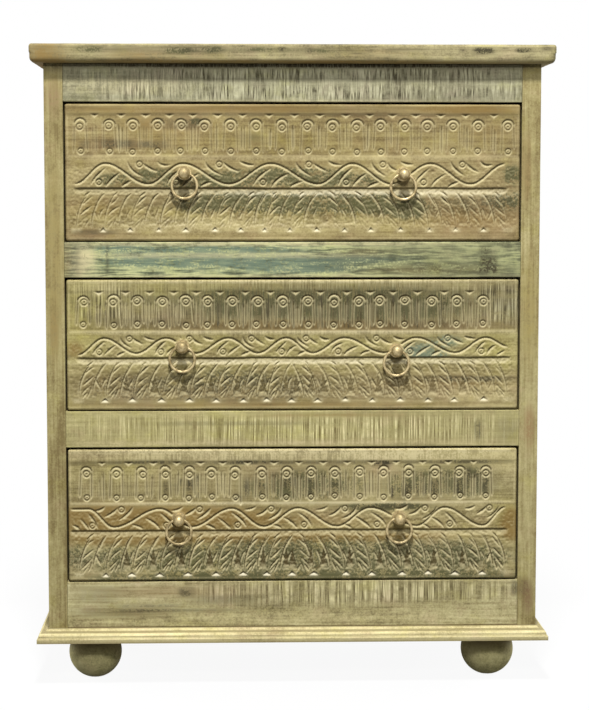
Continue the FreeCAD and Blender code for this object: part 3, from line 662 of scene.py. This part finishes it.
def carve_leaves(work, face):
    """The leaf and its wedge beside each foot, and a chip below it. Leaves lean to the right up to the
    place where the field swaps, and to the left after it. On a worn face the cuts get fainter towards the
    bottom."""
    low, high = face["chips"] + 3, face["ledge"] - 4
    tall = high - low
    for x, width in zip(face["feet"], np.gradient(np.array(face["feet"], float))):
        lean = 1 if x < face["swap"] else -1
        unit = np.array((lean * width, tall))
        for stroke in [work.placed(leaf, unit, (x, low)) for leaf in LEAVES]:
            before_swap = (lean * (face["swap"] - stroke[:, 0])).min() > -4
            if before_swap and abs(stroke[:, 0]).max() < FIELD_END:
                kept = np.interp((stroke[:, 1].mean() - low) / tall, (0.2, 0.6), (face["left"], 1))
                work.stroke(stroke, half=2.0, deep=2.6 * kept)
        if abs(x) < LAST_CHIP:
            wedge = work.placed(WEDGE, unit, (x, low))
            work.chip(wedge, slopes=(0.2, 1.0, 1.0), deep=2.0 * face["left"])
            slip = work.shake(2)
            z, wide = face["chips"] + slip[0], 3.5 + 5.5 * face["left"] + slip[1]
            corners = [(x - wide, z - 3.5), (x + wide, z - 3.5), (x, z + 4.0)]
            work.chip(corners, slopes=(0.5, 2.4, 2.4), deep=2.6)


print(len(LEAVES), "cuts to a leaf")

# %% [markdown]
# ## The three faces
# Each face is the skin of a fine lattice with a rounded rim, and its front points go back by the depth of
# the carving. Under each pull the wood is left flat, so that the collar sits on it. One more colour layer
# goes with the mesh: how deep a point lies, whether it is a ridge or faces up, and whether it faces down.
# The wash uses it for dirt and painted shade in the hollows, painted highlight on ridges and walls that face
# up, and painted shade on walls that face down. The back is one flat polygon, because nothing there needs
# more. Each chip of the lowest row gets a small pale patch, a painted highlight.

# %% Patches on the faces
PATCHES = {
    "upper": dict(
        green=[(-225, 977, 10, 6, 0.8), (-165, 976, 14, 7, 0.8), (-70, 948, 30, 14, 0.4),
               (-310, 876, 40, 12, 0.8), (-235, 884, 45, 13, 1.0), (-190, 872, 40, 12, 1.0),
               (-120, 878, 45, 13, 1.0), (-50, 882, 60, 15, 1.0), (25, 884, 60, 14, 1.0),
               (100, 878, 60, 12, 0.8), (375, 886, 18, 18, 0.9), (-170, 836, 40, 16, 0.8),
               (-100, 838, 60, 18, 1.0), (-20, 837, 70, 18, 1.0), (70, 837, 70, 18, 1.0),
               (150, 836, 60, 18, 1.0), (200, 826, 30, 18, 0.9), (300, 838, 60, 15, 0.35),
               (370, 842, 30, 16, 0.9)],
        bare=[(290, 997, 100, 8, 1.0), (-250, 970, 60, 20, 0.5), (-60, 997, 160, 8, 0.7),
              (-310, 996, 110, 8, 0.5), (-330, 830, 60, 20, 0.5), (300, 815, 110, 30, 0.6),
              (330, 960, 60, 20, 0.4)],
        stain=[(-300, 938, 30, 7, 0.9), (-240, 937, 26, 6, 0.8), (-355, 937, 10, 6, 0.5),
               (-190, 972, 34, 10, 0.5), (-230, 838, 90, 10, 0.35), (310, 834, 80, 18, 0.5),
               (-340, 787, 40, 4, 0.6), (0, 988, 380, 3, 0.35), (-270, 858, 120, 7, 0.45),
               (0, 996, 390, 8, 0.15)],
        yellow=[(-180, 945, 200, 40, 0.4), (100, 940, 240, 30, 0.4), (-200, 810, 240, 30, 0.6),
                (60, 808, 160, 20, 0.5)],
        plum=[(320, 815, 90, 36, 0.9), (-190, 968, 60, 18, 0.8), (-280, 938, 100, 10, 0.8),
              (-340, 782, 50, 10, 0.9), (-110, 995, 120, 10, 0.5), (180, 985, 80, 10, 0.5)],
        # the first and last pale strips, along the ledge and along the fillet, are painted highlight
        pale=[(115, 853, 280, 6, 0.8), (-100, 800, 220, 14, 0.35), (0, 913, 400, 3, 0.3)]),
    "middle": dict(
        green=[(20, 664, 130, 26, 0.8), (150, 662, 90, 28, 0.8), (-110, 668, 80, 24, 0.7),
               (250, 664, 90, 26, 0.6), (-250, 672, 60, 14, 0.4), (-130, 535, 50, 24, 0.6),
               (-60, 540, 30, 20, 0.4)],
        bare=[(20, 628, 300, 9, 0.9), (-376, 588, 16, 14, 0.9), (-330, 530, 70, 26, 0.5),
              (310, 530, 80, 12, 0.5), (180, 526, 70, 14, 0.5), (0, 490, 380, 6, 0.5)],
        blue=[(215, 583, 36, 13, 1.0), (262, 600, 34, 12, 0.8), (250, 577, 20, 6, 0.9)],
        sawn=[(30, 660, 340, 42, 0.95), (-340, 664, 60, 34, 0.8), (360, 664, 40, 34, 0.9)],
        stain=[(0, 694, 390, 10, 0.12), (-190, 522, 200, 26, 0.75), (110, 522, 150, 24, 0.5),
               (310, 534, 80, 6, 0.8), (60, 668, 190, 22, 0.3), (60, 628, 270, 7, 0.65),
               (-250, 632, 90, 9, 0.5), (-129, 648, 3, 20, 0.8), (-86, 646, 3, 22, 0.8),
               (-44, 655, 3, 20, 0.8), (-1, 650, 3, 26, 0.9), (48, 655, 3, 24, 0.8),
               (93, 652, 3, 26, 0.8), (133, 656, 3, 22, 0.6), (171, 655, 4, 26, 0.8),
               (213, 650, 3, 24, 0.8), (257, 652, 5, 26, 0.7)],
        yellow=[(-366, 645, 40, 60, 1.0), (-180, 690, 240, 26, 0.5), (-60, 592, 330, 26, 0.45),
                (350, 585, 40, 40, 0.8), (-60, 526, 320, 40, 0.6)],
        plum=[(110, 626, 290, 9, 1.0), (-120, 512, 280, 34, 1.0), (230, 520, 180, 30, 0.8),
              (-230, 640, 60, 12, 0.5)],
        cool=[(60, 664, 300, 18, 0.6), (380, 660, 30, 40, 0.5)],
        # the three long pale strips, along the fillet, the top rim and the ledge, are painted highlight
        pale=[(0, 615, 380, 3, 0.6), (0, 703, 380, 3, 0.9), (0, 564, 380, 4, 0.6),
              (-340, 690, 60, 12, 0.3)]),
    "lower": dict(
        green=[(-200, 350, 40, 20, 0.4), (-60, 346, 50, 28, 0.5), (-10, 350, 30, 26, 0.7),
               (40, 350, 40, 30, 0.7), (100, 350, 50, 28, 0.5), (190, 350, 30, 30, 0.6),
               (250, 354, 40, 28, 0.8), (315, 354, 36, 30, 0.8), (160, 311, 70, 7, 1.0),
               (-376, 226, 18, 22, 1.0), (-310, 222, 40, 28, 0.8), (-200, 220, 70, 26, 1.0),
               (-80, 224, 80, 30, 1.0), (40, 222, 80, 32, 1.0), (180, 222, 100, 32, 1.0),
               (310, 220, 80, 30, 0.9), (0, 187, 390, 7, 0.85)],
        bare=[(-350, 292, 70, 26, 1.0), (-240, 292, 100, 22, 1.0), (-110, 292, 100, 20, 0.9),
              (-300, 256, 120, 12, 0.9), (-40, 258, 180, 11, 1.0), (160, 260, 140, 9, 0.7),
              (380, 282, 20, 26, 1.0), (382, 278, 14, 20, 1.0), (60, 290, 120, 12, 0.4)],
        sawn=[(-30, 396, 330, 10, 0.4), (40, 350, 345, 28, 0.2), (-330, 350, 60, 26, 0.2)],
        stain=[(0, 390, 390, 4, 0.5), (-220, 347, 5, 12, 1.0), (-178, 353, 7, 13, 0.9),
               (-166, 358, 3, 13, 0.9), (-166, 333, 3, 5, 0.9), (-194, 357, 3, 5, 0.9),
               (-81, 345, 5, 15, 0.8), (-61, 352, 4, 7, 0.8), (-53, 342, 8, 9, 0.8),
               (-96, 328, 8, 7, 0.9), (-5, 354, 16, 10, 0.8), (28, 360, 10, 8, 0.7),
               (30, 340, 14, 10, 0.6), (72, 346, 10, 12, 0.5), (172, 337, 3, 11, 1.0),
               (198, 340, 8, 14, 0.9), (216, 342, 3, 10, 0.9), (228, 342, 3, 11, 0.9),
               (245, 346, 8, 13, 0.8), (287, 348, 9, 17, 0.9), (304, 362, 5, 17, 0.9),
               (318, 358, 4, 15, 0.7), (334, 350, 7, 15, 0.6), (152, 386, 18, 6, 0.7),
               (-70, 391, 50, 4, 0.4), (300, 390, 60, 4, 0.4), (-250, 392, 60, 4, 0.4),
               (160, 312, 60, 4, 0.6)],
        yellow=[(-230, 282, 190, 28, 1.0), (170, 268, 210, 16, 0.8), (374, 290, 24, 34, 1.0),
                (-190, 212, 70, 14, 0.6), (300, 404, 110, 14, 0.6), (-300, 380, 90, 30, 0.4)],
        plum=[(-210, 290, 190, 26, 0.7), (150, 268, 230, 22, 0.6), (152, 378, 22, 16, 1.0),
              (-350, 404, 60, 10, 0.5), (-20, 366, 60, 18, 0.5), (70, 292, 50, 16, 0.5)],
        cool=[(220, 225, 150, 30, 0.6), (320, 350, 60, 24, 0.5), (-360, 222, 40, 26, 0.5)],
        # the pale strips along the top rim and along the fillet are painted highlight; the two just below the
        # rim make the margin paler
        pale=[(0, 411, 390, 5, 1.0), (0, 402, 390, 9, 0.6), (230, 402, 150, 10, 0.4),
              (0, 318, 380, 3, 0.5)]),
}
for level, kinds in PATCHES.items():
    face = FACES[level]
    # each chip of the lowest row gets a small pale patch, a painted highlight, stronger on a face with more
    # carving left
    rubbed = 0.4 + 0.6 * face["left"]
    kinds["pale"] += [(x, face["chips"] - 1, 9, 4, rubbed) for x in face["feet"]]
print({level: sum(map(len, kinds.values())) for level, kinds in PATCHES.items()}, "patches")

# %% Depth of one face
RIM = 4.0  # radius of the rounded rim
COLLAR = 12.0  # radius of the flat left under the collar of a pull
GRIT_END = 388  # how far from the middle of the chest the rough ground reaches


def blurred(field, reach):
    """The mean of a field over a square of neighbours, by running sums along both sides."""
    for axis in (0, 1):
        wide = [(reach + 1, reach) if a == axis else (0, 0) for a in (0, 1)]
        total = np.cumsum(np.pad(field, wide, mode="edge"), axis)
        size = 2 * reach + 1
        field = (np.take(total, range(size, total.shape[axis]), axis)
                 - np.take(total, range(total.shape[axis] - size), axis)) / size
    return field


def face_depth(level, xs, zs):
    """Depth of all the cuts of one face, with grit between vine and chips and a slow ripple all over; it
    fades out under the collars of the pulls and towards the rim."""
    face = FACES[level]
    work = Carving(xs, zs, face["seed"])
    for band in (carve_arcade, carve_vine, carve_ledge, carve_leaves):
        band(work, face)
    rough = np.clip((face["crest"] - zs) / 8, 0, 1) * np.clip((zs - face["chips"]) / 8, 0, 1)
    rough = rough * np.clip((GRIT_END - np.abs(xs)) / 6, 0, 1)[:, None]
    grit = blurred(work.dice.normal(0, 1, work.depth.shape), 1)
    depth = work.depth + 0.6 * rough * np.clip(grit + 0.2, 0, 1)
    places = np.stack([*np.meshgrid(xs, zs, indexing="ij"), 0 * depth], -1).reshape(-1, 3)
    depth += 0.5 * ripple(places, face["seed"], 90).reshape(depth.shape)
    for pull in ("left", "right"):
        middle = np.mean(box_mm(f"{level}_pull_{pull}"), 0)
        away = np.hypot(xs[:, None] - middle[0], zs - middle[2])
        depth *= np.clip((away - COLLAR) / 2.5, 0, 1)
    edge = np.minimum(np.minimum(xs - xs[0], xs[-1] - xs)[:, None], np.minimum(zs - zs[0], zs[-1] - zs))
    return depth * np.clip((edge - 3) / 3, 0, 1)


def wall_layer(depth, xs, zs, left):
    """For each front point, from 0 to 1: its depth, for grime and painted shade in the hollows; how far it is
    a crest or a wall that faces up or sideways, for painted highlight, less on a face with less carving
    left; and how far it is a wall that faces down, for painted shade."""
    slope = np.gradient(depth, zs, axis=1)
    upright = np.clip(np.abs(np.gradient(depth, xs, axis=0)) - 1.5 * np.abs(slope), 0, 1)
    # painted highlight: ridges, walls that face up and walls that face sideways; a wall that faces down gets
    # painted shade
    ridge = 0.3 * (blurred(depth, 2) - depth) + 2.4 * slope + 1.1 * upright
    return np.clip(np.stack((depth / 3, ridge, -1.2 * slope), -1), 0, 1) * (1, 0.6 + 0.4 * left, 1)


print("rim of", RIM, "mm, flats of", 2 * COLLAR, "mm across")


# %% Cut the faces
def carved_face(level):
    """The face of one drawer: a rounded board whose front lies back by the depth of all its cuts."""
    low, high = box_mm(f"{level}_face")
    xs = ruler(low[0], high[0], 1.5, RIM)
    ys = np.array((low[1], low[1] + 1.2, low[1] + 2.5, low[1] + RIM, high[1]))
    zs = ruler(low[2], high[2], 1.35, RIM)
    points, quads, ids = skin(xs, ys, zs, back=False)
    points, _ = eased(points, low, high, RIM)
    front, rear = ids[:, 0, :], ids[:, -1, :]
    depth = face_depth(level, xs, zs)
    points[front, 1] += depth
    carving = np.zeros((len(points), 3))
    carving[front] = wall_layer(depth, xs, zs, FACES[level]["left"])
    loop = np.concatenate((rear[:-1, 0], rear[-1, :-1], rear[:0:-1, -1], rear[0, :0:-1]))[::-1]
    return piece(f"carved_{level}_face", points, [*quads.tolist(), loop.tolist()], f"{level}_drawer",
                 "washed_wood", f"{level}_face", carving=carving, **colour_layers(points, **PATCHES[level]))


faces = {level: carved_face(level) for level in FACES}
print({made.name: len(made.data.vertices) for made in faces.values()})

# %% [markdown]
# ## The olive wash
# The finish is a thin olive wash over old timber, rubbed back. Long thin fibres, slow patches and a fine
# mottle decide whether a place is dark, middling or pale. All are noise: stretched along the grain for
# fibres, and across it for the marks of the saw. Old colours come from the mesh's own layers and are broken
# up by the same noise. On one rail the growth rings show as contour lines: a slow noise, folded up and down
# many times, is dark where it turns. In the carving the hollows are darker, partly dirt and partly painted
# shade. Walls that face down get painted shade, and ridges and walls that face up get a painted highlight,
# nearly white in a pale patch.

# %% Noise, layers and spots
def stretched(grain, along, across):
    """So many changes in a metre along the grain, which runs along x, y or z, and so many across it."""
    return [along if axis == grain else across for axis in "xyz"]


def noise(at, stretch, seed, detail=4.0, rough=0.6):
    """Noise with about so many changes in a metre along x, y and z."""
    there = at.node("Mapping", None, {"Vector": at, "Scale": stretch})
    return at.node("TexNoise", {"noise_dimensions": "4D"},
                   {"Vector": there, "W": seed, "Scale": 1.0, "Detail": detail, "Roughness": rough})


def channels(paint, name):
    """The three channels of a colour layer of the mesh."""
    layer = paint.node("Attribute", {"attribute_name": name})
    parts = paint.node("SeparateColor", None, {0: layer})
    return parts, parts.other(1), parts.other(2)


def spot(at, x, z, rx, rz):
    """1 in the middle of a soft oval on the front, 0 outside it; all in metres."""
    there = at.node("Mapping", None, {
        "Vector": at, "Location": (-x / rx, 0, -z / rz), "Scale": (1 / rx, 0, 1 / rz)})
    return 1 - at.node("VectorMath", {"operation": "LENGTH"}, {0: there}, out="Value").step(0.2, 1.0)


def tinted(colour, share, by):
    """The colour with its channels multiplied, as far as the share says."""
    return share.mix(colour, colour.node("VectorMath", {"operation": "MULTIPLY"}, {0: colour, 1: by}))


print("fibres along x change", stretched("x", 9.0, 230.0), "times in a metre")


# %% Shades and surfaces
def shades(value, low, high, dark, mid, light):
    """A ramp through three screen colours as the value goes from low to high."""
    stops = [(low, tone(*dark)), ((low + high) / 2, tone(*mid)), (high, tone(*light))]
    return value.node("ValToRGB", {"stops": stops}, {0: value})


def new_finish(name):
    """A new material, and the Object coordinates in its tree."""
    made = bpy.data.materials.new(name)
    return made, new_tree(made).node("TexCoord", out="Object")


def lay_on(colour, roughness, height, strength, distance, more):
    """Gives the tree its surface, of that colour and roughness, with a bump that follows the height."""
    bump = colour.node("Bump", None, {"Strength": strength, "Distance": distance, "Height": height})
    surface = colour.node("BsdfPrincipled", None, {
        "Base Color": colour, "Roughness": roughness, "Normal": bump, **more})
    colour.node("OutputMaterial", None, {"Surface": surface})


MATT = {"Specular IOR Level": 0.25}
# In the carving the hollow tone is dirt and painted shade, the underside tone painted shade, and the
# highlight tone and white are painted highlight. The pale tone is rubbed wear and, on the faces, painted
# highlight, and the dark band tone also paints a shadow at the top of the feet.
TONES = {"bare": tone(134, 108, 56), "blue": tone(102, 121, 104), "pale": tone(216, 203, 156),
         "green": tone(78, 78, 47), "stain": tone(68, 62, 43), "speck": tone(84, 74, 46),
         "seam": tone(98, 86, 54), "hollow": tone(80, 69, 38), "underside": tone(70, 60, 34),
         "rubbed": tone(218, 205, 158), "white": tone(255, 246, 214)}
print(len(TONES), "tones of dirt and old paint")


# %% Timber below the wash
def board_sockets(at, seed, grain, reach):
    """The noises of one board and the layers of its mesh, by name. What is `broken` is 0 or 1 in small
    flecks, a smooth step of mottle, grit and saw marks, and breaks up the edges of the patches."""
    wood = SimpleNamespace(at=at, seed=seed)
    wood.fibre = noise(at, stretched(grain, 9.0, 230.0), seed)
    wood.cloud = noise(at, stretched(grain, 3.5, 14.0), seed + 3.7, 3.0)
    wood.mottle = noise(at, (46.0, 46.0, 46.0), seed + 9.1, 6.0, 0.72)
    wood.grit = noise(at, (330.0, 330.0, 330.0), seed + 1.9, 2.0)
    wood.marks = noise(at, (340.0, 0.0, reach), seed + 5.3, 2.0, 0.7)
    wood.green, wood.bare, wood.blue = channels(at, "patina")
    wood.sawn, wood.stain, wood.pale = channels(at, "wear")
    wood.yellow, wood.plum, wood.cool = channels(at, "drift")
    flecks = wood.mottle * 0.55 + wood.grit * 0.45 + wood.sawn * (wood.marks - 0.5) * 2.0
    wood.broken = flecks.step(0.43, 0.55)
    return wood


def timber(wood, shade, saw, rings, fibres, blotches):
    """Colour and height of the board. The level of dark and pale is the sum of four noises about 0.5; growth
    rings and the marks of the saw lie over it, in shades of their own."""
    at, seed, mottle, fibre = wood.at, wood.seed, wood.mottle, wood.fibre
    level = (0.5 + (fibre - 0.5) * (1.1 * fibres) * (1 - wood.sawn * 0.8) + (wood.cloud - 0.5) * 0.9
             + (mottle - 0.5) * blotches + (wood.grit - 0.5) * 0.6)
    colour = shades(level, 0.2, 0.8, *shade)
    height = fibre * 0.3 + mottle * 0.3
    if rings:
        field = noise(at, (5.0, 5.0, 44.0), seed + 4.4, 4.0, 0.6)
        lines = (field * 7.0).math("PINGPONG", 0.5) * 1.5 + (mottle - 0.5) * 1.8 + (fibre - 0.5) * 0.8 + 0.15
        colour = (wood.blue.step(0.0, 0.3) * 0.5 + 0.45).mix(colour, shades(lines, 0.05, 0.85, *rings))
    if saw:
        rows = noise(at, (40.0, 0.0, 60.0), seed + 6.1, 3.0).step(0.36, 0.6)
        colour = (wood.sawn * (0.3 + rows * 0.7)).mix(colour, shades(wood.marks, 0.41, 0.61, *saw))
        height = height + wood.marks * wood.sawn * rows
    return colour, height


print("timber ready")


# %% Age and wash
def aged(wood, colour):
    """The colour after drifts to yellow, plum and grey, then bare, blue, pale, green and stained patches and
    dark specks, each mixed over what lies below it. A stained patch just under the slab is painted shadow,
    and pale patches on the faces' rims, ledges, fillets and chips are painted highlight."""
    mottle, broken = wood.mottle, wood.broken
    stray = noise(wood.at, (24.0, 24.0, 32.0), wood.seed + 12.6, 4.0, 0.65)
    yellow = wood.yellow + stray.step(0.5, 0.7) * 0.5
    plum = wood.plum + (1 - stray).step(0.5, 0.7) * 0.5
    colour = tinted(colour, yellow * (0.4 + mottle), (1.02, 1.04, 0.74))
    colour = tinted(colour, plum * (0.4 + mottle), (0.95, 0.84, 0.94))
    colour = tinted(colour, wood.cool * (0.4 + mottle), (0.93, 1.0, 1.18))
    colour = ((wood.bare * (0.6 + broken * 0.4)).step(0.0, 0.8) * 0.85).mix(colour, TONES["bare"])
    colour = ((wood.blue * (0.35 + broken * 0.65)).step(0.1, 0.8) * 0.8).mix(colour, TONES["blue"])
    # pale patches: rubbed places, and painted highlight along rims, ledges and fillets of the faces and on
    # their lowest chips
    colour = (wood.pale * (0.4 + broken * 0.6) * 0.8).mix(colour, TONES["pale"])
    colour = ((wood.green * (0.3 + broken * 0.8)).step(0.12, 0.7) * 0.9).mix(colour, TONES["green"])
    # stained patches, among them a painted shadow just under the slab
    colour = (wood.stain * (0.3 + broken * 0.8)).mix(colour, TONES["stain"])
    specks = noise(wood.at, (150.0, 150.0, 70.0), wood.seed + 7.7, 2.0).step(0.7, 0.76)
    return (specks * 0.4).mix(colour, TONES["speck"])


def carving_dirt_and_painted_light(wood, colour):
    """The colour after grime and painted shade in the hollows, painted shade on walls that face down, and
    painted highlight on ridges and on walls that face up.
    """
    deep, lit, under = channels(wood.at, "carving")
    # dirt and painted shade in the hollows: darker the deeper a point lies, more where mottle and green
    # patina are
    dirt_and_shade = deep.step(0.15, 0.85) * (0.35 + wood.mottle * 0.5 + wood.green * 0.4)
    colour = dirt_and_shade.mix(colour, TONES["hollow"])
    # painted shade on walls that face down
    colour = (under * 0.7).mix(colour, TONES["underside"])
    # painted highlight on ridges and on walls that face up or sideways, nearly white in a pale patch
    return (lit * 0.72).mix(colour, wood.pale.mix(TONES["rubbed"], TONES["white"]))


def washed(name, shade, seed, grain="x", saw=None, rings=None, carved=False, tints=(), seams=(), fibres=1.0,
           blotches=0.9, reach=9.0):
    """An olive wash on wood whose grain runs along x, y or z: timber, age, dark bands, tints and carving,
    with painted shade and highlight among them.
    """
    made, at = new_finish(name)
    wood = board_sockets(at, seed, grain, reach)
    colour, height = timber(wood, shade, saw, rings, fibres, blotches)
    colour = aged(wood, colour)
    # dark bands at a height: lines along the moulding, and painted shadow at the top of each foot
    for z, half, amount in seams:
        dark = spot(at, 0, z, 99.0, half) * (amount * (0.6 + wood.mottle * 0.8))
        colour = dark.mix(colour, TONES["seam"])
    for x, z, rx, rz, tint in tints:
        colour = (spot(at, x, z, rx, rz) * (0.3 + wood.broken * 0.5)).mix(colour, tone(*tint))
    if carved:
        colour = carving_dirt_and_painted_light(wood, colour)
    lay_on(colour, 0.7 + wood.mottle * 0.2, height, strength=0.7, distance=0.0006, more=MATT)
    return made


print("wash ready")

# %% [markdown]
# ## A wash for every board
# Each board has its own three shades, dark, middling and pale, and a sawn board three more for the marks.
# The seed only moves the noise, so that no two boards look alike. `fibres` and `blotches` say how strong
# those noises are, and `reach` how often in a metre a saw mark breaks off. Dark bands are lines at a height,
# tints are spots of another colour, both in metres. The dark band at the top of each foot is painted shadow
# of the moulding, and the two dark tints at the tops of the stiles are painted shadow of the slab.

# %% Wash on every board
WASHES = {
    "slab": dict(
        shade=((105, 97, 68), (159, 149, 109), (189, 179, 134)), fibres=0.8),
    "frieze": dict(
        shade=((120, 116, 88), (154, 150, 119), (184, 180, 146)),
        saw=((64, 58, 39), (150, 145, 115), (195, 191, 157)), reach=24.0),
    "upper": dict(
        shade=((104, 103, 74), (142, 142, 102), (177, 178, 132)),
        rings=((76, 82, 62), (142, 147, 108), (200, 202, 145))),
    "lower": dict(
        shade=((146, 136, 92), (172, 162, 112), (194, 184, 132)),
        saw=((116, 104, 64), (180, 170, 120), (234, 224, 172))),
    "bottom": dict(
        shade=((104, 93, 62), (170, 159, 114), (208, 200, 152)), fibres=0.8, blotches=0.8,
        saw=((96, 86, 54), (176, 166, 120), (226, 216, 168))),
    "side": dict(
        grain="z", shade=((126, 111, 70), (160, 148, 100), (186, 175, 126)), fibres=1.1,
        # the first two tints, dark at the tops of the stiles just under the slab, are painted shadow of the
        # slab
        tints=[(-0.408, 1.074, 0.08, 0.02, (70, 60, 40)), (0.408, 1.074, 0.08, 0.02, (70, 60, 40)),
               (-0.408, 1.02, 0.02, 0.05, (146, 122, 88)), (0.402, 0.168, 0.018, 0.026, (84, 60, 44)),
               (0.41, 0.15, 0.014, 0.045, (126, 100, 70)), (0.41, 0.45, 0.014, 0.06, (148, 118, 80)),
               (-0.408, 0.75, 0.02, 0.25, (156, 140, 88)), (-0.41, 0.62, 0.012, 0.08, (150, 130, 80)),
               (0.4, 0.9, 0.014, 0.09, (150, 128, 84)), (0.408, 0.65, 0.02, 0.14, (160, 144, 88))]),
    "base": dict(
        shade=((172, 158, 110), (220, 207, 154), (244, 232, 178)), fibres=0.7,
        seams=[(0.096, 0.0022, 0.6), (0.0885, 0.003, 0.4), (0.1025, 0.002, 0.8), (0.0805, 0.0075, 0.4),
               (0.0785, 0.003, 0.4)],
        blotches=0.8),
    "foot": dict(
        shade=((150, 142, 95), (202, 193, 137), (219, 211, 158)), fibres=0.3, blotches=1.2,
        # the dark band at the top of the foot is painted shadow of the moulding above it
        seams=[(0.082, 0.042, 1.0)]),
    "upper_face": dict(
        shade=((112, 95, 60), (149, 133, 90), (176, 161, 113)), carved=True, fibres=0.9),
    "middle_face": dict(
        shade=((114, 102, 65), (154, 142, 96), (186, 175, 124)), carved=True, fibres=0.9,
        saw=((64, 57, 34), (138, 127, 90), (196, 186, 142))),
    "lower_face": dict(
        shade=((114, 101, 64), (158, 145, 99), (194, 181, 130)), carved=True, fibres=0.9,
        saw=((76, 67, 40), (158, 146, 102), (214, 203, 154))),
}
finish = {name: washed(f"wash_{name}", seed=7.3 * number, **look)
          for number, (name, look) in enumerate(WASHES.items())}
slab.data.materials.append(finish["slab"])
for name, rail in rails.items():
    rail.data.materials.append(finish[name.removesuffix("_rail")])
for level, made in faces.items():
    made.data.materials.append(finish[f"{level}_face"])
print(len(finish), "washes")

# %% [markdown]
# ## Plain wood, brass and steel
# Inside, the boards are bare and sawn. The pulls are cast brass gone dull and olive, brighter where the
# finger rubs; their roughness changes with the tarnish. Screws, nails and nuts are plain grey steel.

# %% Plain wood, brass and steel
def plain_wood(name, grain, seed):
    """Bare sawn wood: fibres along the grain over slow rings of darker wood."""
    made, at = new_finish(name)
    fibre = noise(at, stretched(grain, 6.0, 240.0), seed)
    rings = noise(at, stretched(grain, 1.6, 22.0), seed + 2)
    level = 0.5 + (fibre - 0.5) * 1.3 + (rings - 0.5) * 1.5
    colour = shades(level, 0.15, 0.85, (110, 88, 58), (156, 130, 92), (186, 162, 120))
    lay_on(colour, 0.75 + rings * 0.15, fibre, strength=0.5, distance=0.0005, more=MATT)
    return made


def old_metal(name, worn, tarnish, rough, metallic):
    """Metal whose tarnish lies in soft clouds; it is rougher where it is darker."""
    made, at = new_finish(name)
    cloud = at.node("TexNoise", None, {"Vector": at, "Scale": 120.0, "Detail": 4.0, "Roughness": 0.6})
    grain = at.node("TexNoise", None, {"Vector": at, "Scale": 900.0, "Detail": 2.0})
    dull = cloud.step(0.4, 0.62)
    colour = dull.mix(tone(*worn), tone(*tarnish))
    lay_on(colour, rough + dull * 0.15, grain, strength=0.3, distance=0.0002, more={"Metallic": metallic})
    return made


for grain in "xyz":
    finish[f"plain_{grain}"] = plain_wood(f"plain_wood_{grain}", grain, 40.0 + ord(grain))
finish["brass"] = old_metal("dull_brass", (192, 174, 130), (144, 127, 88), rough=0.42, metallic=0.65)
finish["steel"] = old_metal("grey_steel", (150, 150, 146), (110, 110, 106), rough=0.4, metallic=1.0)
print("finishes:", len(finish))

# %% [markdown]
# ## The frame's own pieces
# Sides, mouldings, feet, pulls, rings, drawer boxes and hidden parts keep the joiner's shapes. Their meshes
# are loose triangles, so a Weld modifier joins them and a small Bevel takes the sharpness off the boards;
# the meshes themselves stay untouched. The wide back panel keeps its loose triangles: its nail holes would
# bend the shading of the long ones.

# %% Finishes on the frame's pieces
def finish_for(node):
    """The finish of one frame piece, from its slot in the record and from its name."""
    slot = next(p["material_slot"] for p in frame["record"]["subparts"] if p["node"] == node)
    if slot == "antique_brass":
        return "brass"
    if slot == "steel_fasteners":
        return "steel"
    if slot == "plain_wood":
        size = np.subtract(*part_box(node)[::-1])
        return "plain_" + "xyz"[int(np.argmax(size))]
    return "side" if node.endswith("_side") else "foot" if node.startswith("foot") else "base"


def soften(node, width):
    """Joins the loose triangles and rounds the sharp edges of a frame piece, without touching its mesh."""
    weld = nodes[node].modifiers.new("weld", "WELD")
    weld.merge_threshold = 0.00002
    if width:
        bevel = nodes[node].modifiers.new("bevel", "BEVEL")
        bevel.width, bevel.segments, bevel.limit_method = width, 2, "ANGLE"
        bevel.angle_limit = math.radians(50)


kept = [node for node in nodes if not (node in rails or node == "top_slab" or node.endswith("_face"))]
for node in kept:
    name = finish_for(node)
    mesh = nodes[node].data
    mesh.materials.clear()
    mesh.materials.append(finish[name])
    if node != "back_panel":
        soften(node, width=0.0012 if name == "side" or name.startswith("plain") else 0)
print(len(kept), "frame pieces finished")

# %% [markdown]
# ## Size and end
# The dressed chest must not outgrow the joiner's model, so its box is worked out at the end.

# %% The box of the dressed chest
low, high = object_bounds()
